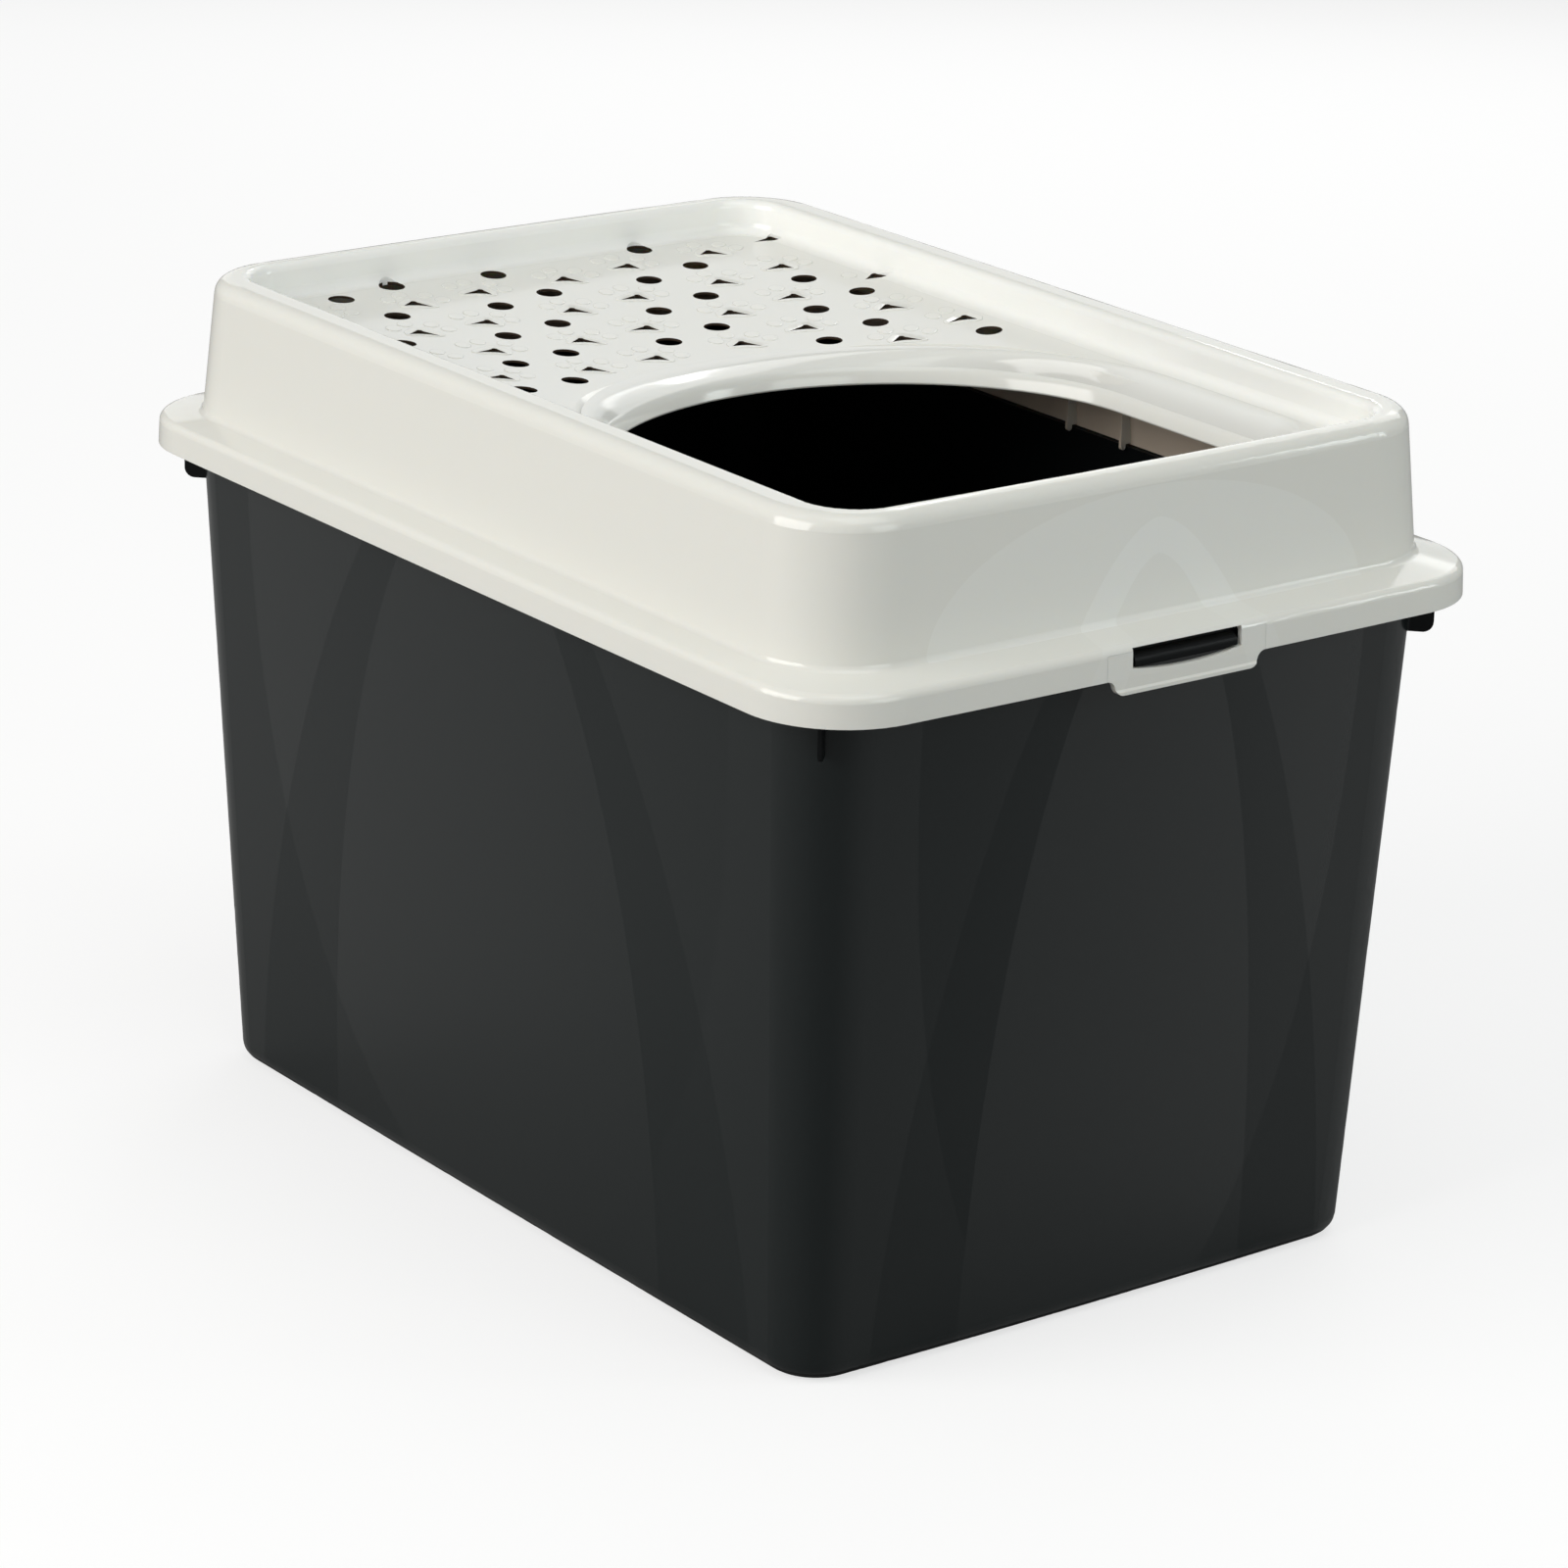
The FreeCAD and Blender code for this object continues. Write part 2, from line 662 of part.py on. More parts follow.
def catch() -> Part.Shape:
    """The front catch: flat underside, blunt nose and a curved ramp up to the rim."""
    root_x = rim_edge.half_x - tub_wall / 2
    nose_x = skirt_half_x - catch_nose_inset
    low_z = slot_bottom_z + catch_gap
    nose_z = low_z + catch_nose_height
    edge_x = rim_edge.half_x

    def at(x: float, z: float) -> FreeCAD.Vector:
        return FreeCAD.Vector(x, tab_offset - catch_width / 2, z)

    crest_x = edge_x + (nose_x - edge_x) / math.sqrt(2)
    crest_z = nose_z + (rim_edge.z - rim_round - nose_z) / math.sqrt(2)
    outline = Part.Wire([
        line(at(root_x, low_z), at(nose_x, low_z)),
        line(at(nose_x, low_z), at(nose_x, nose_z)),
        arc(at(nose_x, nose_z), at(crest_x, crest_z), at(edge_x, rim_edge.z - rim_round)),
        line(at(edge_x, rim_edge.z - rim_round), at(root_x, rim_edge.z - rim_round)),
        line(at(root_x, rim_edge.z - rim_round), at(root_x, low_z)),
    ])
    return prism(outline, FreeCAD.Vector(0, catch_width, 0))


def make_tub() -> Part.Shape:
    """Tapered tub with a rounded base, outward rim, corner ribs and two catches."""
    outside = rounded(loft([tub_base, tub_station(rim_inner.z)]), 0, tub_base_round)
    floor = offset(tub_station(tub_floor), -tub_wall)
    mouth = offset(tub_station(rim_inner.z + overrun), -tub_wall)
    inside = rounded(loft([floor, mouth]), tub_floor, tub_base_round - tub_wall)
    recess_top = Station(
        tub_base.half_x - base_recess_inset, tub_base.half_y - base_recess_inset, base_recess_corner,
        base_recess_depth,
    )
    recess = loft([offset(recess_top, 2 * base_recess_depth, -2 * base_recess_depth), recess_top])
    body = outside.fuse([tub_rim()] + corner_ribs() + both_ends(catch()))
    return body.cut([inside, recess])


def main() -> None:
    """Build every piece and write it under its node name."""
    tabs = both_ends(make_tab())
    pieces = {"tub": make_tub(), "lid": make_lid(), "front_tab": tabs[0], "rear_tab": tabs[1]}
    os.makedirs("parts", exist_ok=True)
    for name, shape in pieces.items():
        solid = shape.removeSplitter()
        solid.exportStep(f"parts/{name}.step")
        print(name, len(solid.Solids), "solid", solid.isValid(), round(solid.Volume), "cubic millimetres")


main()
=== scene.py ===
"""Looks of a top-entry litter box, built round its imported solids.

The solids give the tub, the lid and the two tabs their shapes. This script adds what a moulding tool adds:
the soft roll round the entry, the raised paw marks on the deck, the grain of the plastic and the tone-on-tone
arches. X runs along the length with the front tab at +X, Y across the width and Z up. Added shapes are worked
out in millimetres and made in metres. Finishes, camera and lamps are in metres.
"""

import logging
import math
from dataclasses import dataclass
from enum import Enum
from typing import NamedTuple, Union

import bpy
import numpy as np
from mathutils import Matrix, Quaternion, Vector


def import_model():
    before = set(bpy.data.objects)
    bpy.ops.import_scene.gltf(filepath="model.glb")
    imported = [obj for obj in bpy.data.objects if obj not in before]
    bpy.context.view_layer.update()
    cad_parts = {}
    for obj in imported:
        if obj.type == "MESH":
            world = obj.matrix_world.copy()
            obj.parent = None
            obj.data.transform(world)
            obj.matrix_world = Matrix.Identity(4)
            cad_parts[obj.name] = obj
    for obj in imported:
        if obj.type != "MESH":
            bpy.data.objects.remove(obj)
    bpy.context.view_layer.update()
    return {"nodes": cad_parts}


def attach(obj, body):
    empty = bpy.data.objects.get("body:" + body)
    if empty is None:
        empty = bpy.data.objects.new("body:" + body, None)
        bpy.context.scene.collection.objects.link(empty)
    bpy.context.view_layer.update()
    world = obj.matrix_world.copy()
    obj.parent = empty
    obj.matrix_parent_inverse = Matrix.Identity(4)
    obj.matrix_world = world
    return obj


log = logging.getLogger("litter_box")

MILLIMETRE = 0.001
WHITE = (1.0, 1.0, 1.0, 1.0)
MASK_AT_EDGE = 0.5

Socket = bpy.types.NodeSocket
Feed = Union[bpy.types.NodeSocket, float, tuple]


class Body(Enum):
    """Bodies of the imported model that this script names."""

    TUB = "tub"
    LID = "lid"


class Wall(Enum):
    """The two kinds of upright wall of the tub."""

    LONG = "long"
    END = "end"


# Sizes that shapes and finishes share


@dataclass(frozen=True)
class Deck:
    """The dished deck of the lid: edge height less sag times (1 - u squared) times (1 - v squared)."""

    half_x: float = 245.5
    half_y: float = 155.4
    edge_z: float = 387.0
    sag: float = 10.0

    def height(self, x: np.ndarray, y: np.ndarray) -> np.ndarray:
        """Height of the deck.

        Args:
            x: places along the length.
            y: places across the width.

        Returns:
            Heights.
        """
        return self.edge_z - self.sag * (1 - (x / self.half_x) ** 2) * (1 - (y / self.half_y) ** 2)


class EntryRing(NamedTuple):
    """One outline round the entry: half an ellipse at the rear, straight sides and rounded front corners."""

    half_width: float
    rear_reach: float
    centre: float
    front: float
    corner: float


ENTRY_OUTER = EntryRing(151.2, 176.6, 108.0, 232.8, 59.6)


# Shader nodes


class Place(NamedTuple):
    """The three parts of a vector in a node tree."""

    x: Socket
    y: Socket
    z: Socket


class Graph:
    """A short way to place shader nodes in one tree and to join them."""

    def __init__(self, tree: bpy.types.NodeTree) -> None:
        """Work on one tree.

        Args:
            tree: node tree of a material, world or group.
        """
        self.tree = tree

    def add(self, kind: str, **settings: object) -> bpy.types.Node:
        """Place one node.

        Args:
            kind: Blender's class name of the node.
            settings: attributes to set on the node.

        Returns:
            The new node.
        """
        node = self.tree.nodes.new(kind)
        for name, value in settings.items():
            setattr(node, name, value)
        return node

    def feed(self, socket: Socket, value: Feed) -> None:
        """Join an output to an input socket, or set the socket to a plain value.

        Args:
            socket: input socket.
            value: output socket, number or tuple.
        """
        if isinstance(value, Socket):
            self.tree.links.new(value, socket)
        else:
            socket.default_value = value

    def math(self, operation: str, *values: Feed, clamp: bool = False) -> Socket:
        """Place one Math node.

        Args:
            operation: the node's operation.
            values: numbers or sockets for its inputs, in order.
            clamp: whether the result is kept between 0 and 1.

        Returns:
            The result socket.
        """
        node = self.add("ShaderNodeMath", operation=operation, use_clamp=clamp)
        for socket, value in zip(node.inputs, values):
            self.feed(socket, value)
        return node.outputs[0]

    def product(self, first: Socket, *others: Feed) -> Socket:
        """Multiply numbers.

        Args:
            first: first factor.
            others: the other factors.

        Returns:
            The product.
        """
        result = first
        for factor in others:
            result = self.math("MULTIPLY", result, factor)
        return result

    def _mix(self, kind: str, share: Feed, first: Feed, second: Feed) -> Socket:
        """Place one Mix node.

        Args:
            kind: Blender's name of what is mixed.
            share: share of the second value.
            first: value at share 0.
            second: value at share 1.

        Returns:
            The mixed value.
        """
        node = self.add("ShaderNodeMix", data_type=kind)
        for name, value in (("Factor", share), ("A", first), ("B", second)):
            self.feed(node.inputs[name], value)
        return node.outputs["Result"]

    def mix(self, share: Feed, first: Feed, second: Feed) -> Socket:
        """Mix two colours, where share is the part of the second."""
        return self._mix("RGBA", share, first, second)

    def between(self, share: Feed, first: Feed, second: Feed) -> Socket:
        """Mix two numbers, where share is the part of the second."""
        return self._mix("FLOAT", share, first, second)

    def split(self, vector: Socket) -> Place:
        """Split a vector.

        Args:
            vector: output socket.

        Returns:
            Its three parts.
        """
        node = self.add("ShaderNodeSeparateXYZ")
        self.feed(node.inputs[0], vector)
        return Place(*node.outputs)

    def group(self, tree: bpy.types.NodeTree, *values: Feed) -> bpy.types.Node:
        """Place one node group.

        Args:
            tree: the group.
            values: numbers or sockets for its inputs, in order.

        Returns:
            The new node.
        """
        node = self.add("ShaderNodeGroup", node_tree=tree)
        for socket, value in zip(node.inputs, values):
            self.feed(socket, value)
        return node


@dataclass(frozen=True)
class GroupMaker:
    """Makes the shader node groups that several materials use."""

    grain_detail: float = 3.0
    flow_scale: float = 22.0
    flow_detail: float = 1.0
    mottle_scale: float = 9.0
    mottle_detail: float = 4.0
    shoulder_power: float = 0.6
    arch_sharpness: float = 2000.0
    oval_sharpness: float = 160.0

    @staticmethod
    def _begin(name: str, inputs: dict[str, str], outputs: tuple[str, ...]) -> tuple[Graph, dict, dict]:
        """Open a group with named sockets.

        Args:
            name: name of the group.
            inputs: kind of each input by name.
            outputs: name of each output, all numbers.

        Returns:
            The graph, its input sockets by name and its output sockets by name.
        """
        tree = bpy.data.node_groups.new(name, "ShaderNodeTree")
        for label, kind in inputs.items():
            tree.interface.new_socket(label, in_out="INPUT", socket_type=kind)
        for label in outputs:
            tree.interface.new_socket(label, in_out="OUTPUT", socket_type="NodeSocketFloat")
        graph = Graph(tree)
        return graph, graph.add("NodeGroupInput").outputs, graph.add("NodeGroupOutput").inputs

    @staticmethod
    def _noise(graph: Graph, place: Socket, scale: Feed, detail: float) -> Socket:
        """Place one noise.

        Args:
            graph: graph of the group.
            place: position on the piece.
            scale: how fine the noise is.
            detail: how many finer layers it has.

        Returns:
            The noise, from 0 to 1.
        """
        node = graph.add("ShaderNodeTexNoise")
        for name, value in (("Vector", place), ("Scale", scale), ("Detail", detail)):
            graph.feed(node.inputs[name], value)
        return node.outputs["Fac"]

    def grain(self) -> bpy.types.NodeTree:
        """Moulded skin: fine grain, long flow waves and a slow mottle.

        Returns:
            The group, with a Height for bump, and a Mottle from 0 to 1.
        """
        inputs = {
            "Position": "NodeSocketVector",
            "Grain Scale": "NodeSocketFloat",
            "Flow Share": "NodeSocketFloat",
        }
        graph, given, out = self._begin("moulded_skin", inputs, ("Height", "Mottle"))
        place = given["Position"]
        fine = self._noise(graph, place, given["Grain Scale"], self.grain_detail)
        flow = self._noise(graph, place, self.flow_scale, self.flow_detail)
        graph.feed(out["Height"], graph.between(given["Flow Share"], fine, flow))
        graph.feed(out["Mottle"], self._noise(graph, place, self.mottle_scale, self.mottle_detail))
        return graph.tree

    def arch(self) -> bpy.types.NodeTree:
        """Inside of a tall arch that stands on the floor.

        Half width at height z is the full half width times (1 - (z / top) to a power) to the shoulder power.

        Returns:
            The group, with an Inside mask from 0 to 1.
        """
        names = ("Across", "Up", "Half Width", "Top", "Power")
        graph, given, out = self._begin("arch_mask", dict.fromkeys(names, "NodeSocketFloat"), ("Inside",))
        rise = graph.math("DIVIDE", given["Up"], given["Top"], clamp=True)
        left = graph.math("SUBTRACT", 1.0, graph.math("POWER", rise, given["Power"]), clamp=True)
        half = graph.product(given["Half Width"], graph.math("POWER", left, self.shoulder_power))
        gap = graph.math("SUBTRACT", half, graph.math("ABSOLUTE", given["Across"]))
        inside = graph.math("MULTIPLY_ADD", gap, self.arch_sharpness, MASK_AT_EDGE, clamp=True)
        graph.feed(out["Inside"], inside)
        return graph.tree

    def oval(self) -> bpy.types.NodeTree:
        """Inside of an ellipse drawn on a wall.

        The radius in ellipse units is the root of (across / half width) squared plus ((up - centre) / half
        height) squared, and the inside is where it is below 1.

        Returns:
            The group, with an Inside mask from 0 to 1.
        """
        names = ("Across", "Up", "Half Width", "Half Height", "Centre")
        graph, given, out = self._begin("oval_mask", dict.fromkeys(names, "NodeSocketFloat"), ("Inside",))
        wide = graph.math("DIVIDE", given["Across"], given["Half Width"])
        above = graph.math("SUBTRACT", given["Up"], given["Centre"])
        tall = graph.math("DIVIDE", above, given["Half Height"])
        square = graph.math("ADD", graph.math("POWER", wide, 2.0), graph.math("POWER", tall, 2.0))
        gap = graph.math("SUBTRACT", 1.0, graph.math("SQRT", square))
        inside = graph.math("MULTIPLY_ADD", gap, self.oval_sharpness, MASK_AT_EDGE, clamp=True)
        graph.feed(out["Inside"], inside)
        return graph.tree


# Finishes


class Skin(NamedTuple):
    """Moulded skin of one plastic: how fine its grain is, its share of flow waves, and its bump."""

    grain_scale: float
    flow_share: float
    bump_strength: float
    bump_depth: float = 0.0004


class PlasticGraph(Graph):
    """Node tree of one plastic, with the place on the piece split in three and the moulded skin joined."""

    def __init__(self, name: str, groups: dict, skin: Skin) -> None:
        """Make the material.

        Args:
            name: name of the material.
            groups: node groups by name.
            skin: the plastic's skin.
        """
        self.material = bpy.data.materials.new(name)
        self.material.use_nodes = True
        super().__init__(self.material.node_tree)
        self.shader = self.tree.nodes["Principled BSDF"]
        place = self.add("ShaderNodeTexCoord").outputs["Object"]
        self.at = self.split(place)
        surface = self.group(groups["grain"], place, skin.grain_scale, skin.flow_share)
        self.mottle = surface.outputs["Mottle"]
        bump = self.add("ShaderNodeBump")
        self.feed(bump.inputs["Strength"], skin.bump_strength)
        self.feed(bump.inputs["Distance"], skin.bump_depth)
        self.feed(bump.inputs["Height"], surface.outputs["Height"])
        self.put("Normal", bump.outputs["Normal"])

    def put(self, name: str, value: Feed) -> None:
        """Feed the shader's socket of this name."""
        self.feed(self.shader.inputs[name], value)


@dataclass(frozen=True)
class Oval:
    """An ellipse drawn on a wall, in metres."""

    half_width: float
    half_height: float
    centre: float

    def inside(self, graph: Graph, groups: dict, across: Socket, up: Socket) -> Socket:
        """Mask of the ellipse.

        Args:
            graph: graph of the material.
            groups: node groups by name.
            across: place along the wall.
            up: height.

        Returns:
            1 inside, 0 outside.
        """
        sizes = (self.half_width, self.half_height, self.centre)
        return graph.group(groups["oval"], across, up, *sizes).outputs["Inside"]


@dataclass(frozen=True)
class Arches:
    """An arch within an arch on one kind of wall, in metres."""

    outer_half_width: float
    inner_half_width: float
    centre: float = 0.0
    outer_top: float = 0.3816
    inner_top: float = 0.3654
    outer_power: float = 1.5
    inner_power: float = 2.0

    def masks(self, graph: Graph, groups: dict, across: Socket, up: Socket) -> tuple[Socket, Socket]:
        """Masks of the band between the arches and of the inner arch.

        Args:
            graph: graph of the material.
            groups: node groups by name.
            across: place along the wall, from the middle of the arches.
            up: height.

        Returns:
            The band and the inner arch, each 1 inside and 0 outside.
        """
        outer_sizes = (self.outer_half_width, self.outer_top, self.outer_power)
        inner_sizes = (self.inner_half_width, self.inner_top, self.inner_power)
        outer = graph.group(groups["arch"], across, up, *outer_sizes).outputs["Inside"]
        inner = graph.group(groups["arch"], across, up, *inner_sizes).outputs["Inside"]
        return graph.math("SUBTRACT", outer, inner, clamp=True), inner


@dataclass(frozen=True)
class WallGloss:
    """Gloss of one kind of tub wall, which is a pattern of slightly different finishes.

    The plain gloss is a level at the middle of the arches, and leans by so much for each metre along the
    wall. An upright band between two arches overlaps a bowl-shaped field. The band is a little duller than
    the rest. The field round the inner arch is duller towards one end of the wall, and the ground outside the
    field towards the other. How fast one gives way to the other is the swing, for each metre along the wall.
    The arches, band and field are the plastic's own pattern. The lean and the swing are painted reflection:
    brighter and darker reflections along the wall, set in the gloss instead of coming from the lamps.
    """

    arches: Arches
    bowl: Oval
    level: float
    lean: float
    field_shade: float
    swing: float
    band_shade: float = 0.27
    ground_shade: float = 0.24

    def build(self, graph: Graph, groups: dict, along: Socket, up: Socket) -> Socket:
        """Work out the gloss: the plain level times (1 - shade times mask) for band, field and ground.

        Args:
            graph: graph of the material.
            groups: node groups by name.
            along: place along the wall.
            up: height.

        Returns:
            Coat weight.
        """
        across = graph.math("SUBTRACT", along, self.arches.centre)
        band, inner = self.arches.masks(graph, groups, across, up)
        bowl = self.bowl.inside(graph, groups, across, up)
        # Painted reflection: near shifts the duller part from the field to the ground along the wall.
        near = graph.math("MULTIPLY_ADD", across, self.swing, MASK_AT_EDGE, clamp=True)
        field = graph.product(graph.math("SUBTRACT", bowl, inner, clamp=True), near)
        ground = graph.product(graph.math("SUBTRACT", 1.0, bowl), graph.math("SUBTRACT", 1.0, near))
        # Painted reflection: the gloss leans along the wall to copy how its reflections change.
        gloss = graph.math("MULTIPLY_ADD", across, self.lean, self.level)
        shades = ((band, self.band_shade), (field, self.field_shade), (ground, self.ground_shade))
        for mask, shade in shades:
            gloss = graph.product(gloss, graph.math("MULTIPLY_ADD", mask, -shade, 1.0))
        return gloss


@dataclass(frozen=True)
class TubPlastic:
    """Charcoal plastic: satin walls with slightly duller arches, and hidden and inner faces painted darker as
    shade.
    """

    name: str = "charcoal_plastic"
    tint: tuple = (0.0085, 0.0116, 0.0121, 1.0)
    # Painted shade: hidden and inner faces are the same plastic, tinted darker for the shade inside the tub
    # and its front slot.
    hidden_shade_tint: tuple = (0.0035, 0.0042, 0.0046, 1.0)
    bloom: tuple = (0.03, 0.031, 0.032, 1.0)
    bloom_share: float = 0.06
    skin: Skin = Skin(grain_scale=900.0, flow_share=0.5, bump_strength=0.06)
    corner_coat: float = 0.26
    hidden_coat: float = 0.05
    coat_roughness: float = 0.17
    coat_index: float = 1.6
    index: float = 1.49
    specular: float = 0.12
    roughness: float = 0.34
    roughness_wander: float = 0.05
    base_half_x: float = 0.2463
    base_half_y: float = 0.1644
    wall_height: float = 0.32
    spread_x: float = 0.0161
    spread_y: float = 0.0138
    bow_x: float = 0.0022
    bow_y: float = 0.0005
    bow_margin: float = 0.01
    base_corner: float = 0.0255
    corner_spread: float = 0.0075
    wall_depth: float = 0.0013
    bend_gain: float = 2.6
    bend_power: float = 3.0
    # The lean and swing values below are painted reflection along each wall.
    long_wall: WallGloss = WallGloss(
        Arches(0.206, 0.136), Oval(0.197, 0.312, 0.3),
        level=0.67, lean=-1.0, field_shade=0.12, swing=3.3,
    )
    end_wall: WallGloss = WallGloss(
        Arches(0.132, 0.083, 0.005), Oval(0.126, 0.338, 0.31),
        level=0.86, lean=2.2, field_shade=0.28, swing=-5.0,
    )

    def build(self, groups: dict) -> bpy.types.Material:
        """Make the material.

        Args:
            groups: node groups by name.

        Returns:
            The material.
        """
        graph = PlasticGraph(self.name, groups, self.skin)
        outside, on_end, bend = self._wall_masks(graph)
        long_gloss = self.long_wall.build(graph, groups, graph.at.x, graph.at.z)
        end_gloss = self.end_wall.build(graph, groups, graph.at.y, graph.at.z)
        coat = graph.between(bend, graph.between(on_end, long_gloss, end_gloss), self.corner_coat)
        graph.put("Coat Weight", graph.between(outside, self.hidden_coat, coat))
        tone = graph.mix(graph.product(graph.mottle, self.bloom_share), self.tint, self.bloom)
        # Painted shade on every face that is not an outer wall.
        graph.put("Base Color", graph.mix(outside, self.hidden_shade_tint, tone))
        least = self.roughness - self.roughness_wander / 2
        graph.put("Roughness", graph.math("MULTIPLY_ADD", graph.mottle, self.roughness_wander, least))
        graph.put("Coat Roughness", self.coat_roughness)
        graph.put("Coat IOR", self.coat_index)
        graph.put("Specular IOR Level", self.specular)
        graph.put("IOR", self.index)
        return graph.material

    def _wall_masks(self, graph: PlasticGraph) -> tuple[Socket, Socket, Socket]:
        """Masks of the outer faces, of the end walls and of the middle of the corner bends.

        On a bend the two distances past its middle, over the corner radius, are the sine and cosine of the
        turn. A face is an outer one where they give the whole radius. The middle of a bend is where the
        square of the sine times the cosine is highest, which a gain brings to 1 and a power makes narrow.

        Args:
            graph: graph of the material.

        Returns:
            Outer faces, end walls and bends, each 1 inside and 0 outside.
        """
        growth = self.corner_spread / self.wall_height
        corner = graph.math("MULTIPLY_ADD", graph.at.z, growth, self.base_corner)
        past_end = self._past_bend(graph, corner, Wall.END)
        past_long = self._past_bend(graph, corner, Wall.LONG)
        sine = graph.math("DIVIDE", graph.math("MAXIMUM", past_end, 0.0), corner)
        cosine = graph.math("DIVIDE", graph.math("MAXIMUM", past_long, 0.0), corner)
        square = graph.product(sine, sine)
        reach = graph.math("SQRT", graph.math("MULTIPLY_ADD", cosine, cosine, square))
        outside = graph.math("COMPARE", graph.product(reach, corner), corner, self.wall_depth)
        on_end = graph.math("GREATER_THAN", past_end, past_long)
        bend = graph.math("POWER", graph.product(square, cosine, self.bend_gain), self.bend_power)
        return outside, on_end, bend

    def _past_bend(self, graph: PlasticGraph, corner: Socket, wall: Wall) -> Socket:
        """How far a point lies past the middle of the corner bend, measured square to one kind of wall.

        The wall stands at its base half size plus a spread that grows with height, less a bow that grows
        with the square of the way across. The middle of the bend lies one corner radius inside it.

        Args:
            graph: graph of the material.
            corner: corner radius at this height.
            wall: the kind of wall.

        Returns:
            The distance, in metres: the corner radius on the wall's face.
        """
        x, y, up = graph.at
        if wall is Wall.END:
            out, across = x, y
            half, other_half, spread, bow = self.base_half_x, self.base_half_y, self.spread_x, self.bow_x
        else:
            out, across = y, x
            half, other_half, spread, bow = self.base_half_y, self.base_half_x, self.spread_y, self.bow_y
        share = graph.math("DIVIDE", across, other_half + self.bow_margin)
        face = graph.math("MULTIPLY_ADD", up, spread / self.wall_height, half)
        droop = graph.product(graph.math("POWER", share, 2.0), bow)
        middle = graph.math("SUBTRACT", graph.math("SUBTRACT", face, droop), corner)
        return graph.math("SUBTRACT", graph.math("ABSOLUTE", out), middle)


@dataclass(frozen=True)
class LidPlastic:
    """Off-white plastic with a soft gloss, and faint arches on its two end faces.

    Light and shade are painted in: the walls round the deck are lighter as painted light, the inner faces
    under the deck tan as painted shade, and the walls of the holes dark as painted shade.
    """

    name: str = "off_white_plastic"
    body: tuple = (0.80, 0.795, 0.745, 1.0)
    mottle_tint: tuple = (0.78, 0.76, 0.69, 1.0)
    mottle_share: float = 0.1
    skin: Skin = Skin(grain_scale=500.0, flow_share=0.8, bump_strength=0.03)
    roughness: float = 0.1
    oval_roughness: float = 0.2
    roughness_wander: float = 0.06
    index: float = 1.5
    glow: float = 0.15
    glow_spread: tuple = (1.0, 0.8, 0.6)
    glow_depth: float = 0.004
    end_from: float = 0.2585
    hood_from: float = 0.3375
    oval: Oval = Oval(0.123, 0.061, 0.335)
    oval_tint: tuple = (0.83, 0.83, 0.785, 1.0)
    arches: Arches = Arches(0.131, 0.080, 0.005)
    arch_tint: tuple = (0.865, 0.87, 0.832, 1.0)
    arch_share: float = 0.25
    # Painted light: a lighter tint on the walls round the deck, for light that shines through and onto them.
    wall_light_tint: tuple = (0.94, 0.94, 0.90, 1.0)
    wall_turn: float = 0.14
    wall_from_x: float = 0.228
    wall_from_y: float = 0.139
    wall_blend: float = 0.008
    # Painted shade: the faces under the deck are white plastic, tinted tan and dark for the shade inside the
    # box.
    inner_shade_tint: tuple = (0.46, 0.39, 0.32, 1.0)
    inner_to: float = 0.3655
    inner_turn: float = -0.08
    # Painted shade: the walls of the holes are dark brown for the shade in them, not for their plastic.
    hole_shade_tint: tuple = (0.045, 0.031, 0.022, 1.0)
    hole_shade_share: float = 0.0
    hole_tilt: float = 0.35
    deck_bend_x: float = 0.2230
    deck_bend_y: float = 0.1329
    deck_corner: float = 0.0218
    deck_from: float = 0.374
    deck_over: float = 0.0003
    deck: Deck = Deck()
    roll: EntryRing = ENTRY_OUTER

    def build(self, groups: dict) -> bpy.types.Material:
        """Make the material.

        Args:
            groups: node groups by name.

        Returns:
            The material.
        """
        graph = PlasticGraph(self.name, groups, self.skin)
        x, y, z = graph.at
        on_end = graph.math("GREATER_THAN", graph.math("ABSOLUTE", x), self.end_from)
        on_hood = graph.product(on_end, graph.math("GREATER_THAN", z, self.hood_from))
        oval = graph.product(self.oval.inside(graph, groups, y, z), on_hood)
        across = graph.math("SUBTRACT", y, self.arches.centre)
        band = self.arches.masks(graph, groups, across, z)[0]
        band = graph.product(band, on_end, graph.between(on_hood, self.arch_share, 1.0))
        directions = graph.add("ShaderNodeNewGeometry").outputs
        smooth = graph.split(directions["Normal"])
        facet = graph.split(directions["True Normal"])
        tone = graph.mix(oval, self.body, self.oval_tint)
        # Painted light on the deck walls, painted shade on the inner faces and in the holes; the oval, arches
        # and mottle are the plastic's own tones.
        for mask, tint in (
            (band, self.arch_tint),
            (graph.product(graph.mottle, self.mottle_share), self.mottle_tint),
            (self._lit_deck_walls(graph, smooth), self.wall_light_tint),
            (self._shaded_inner_walls(graph, facet), self.inner_shade_tint),
            (graph.product(self._shaded_hole_walls(graph, facet), self.hole_shade_share), self.hole_shade_tint),
        ):
            tone = graph.mix(mask, tone, tint)
        graph.put("Base Color", tone)
        rough = graph.between(oval, self.roughness, self.oval_roughness)
        least = -self.roughness_wander / 2
        wander = graph.math("MULTIPLY_ADD", graph.mottle, self.roughness_wander, least)
        graph.put("Roughness", graph.math("ADD", rough, wander))
        graph.put("IOR", self.index)
        graph.put("Subsurface Weight", self.glow)
        graph.put("Subsurface Radius", self.glow_spread)
        graph.put("Subsurface Scale", self.glow_depth)
        return graph.material

    @staticmethod
    def _outward(graph: PlasticGraph, direction: Place) -> Socket:
        """How far a face looks out from the middle: x and y times their parts of its direction, added up."""
        return graph.math("MULTIPLY_ADD", graph.at.x, direction.x, graph.product(graph.at.y, direction.y))

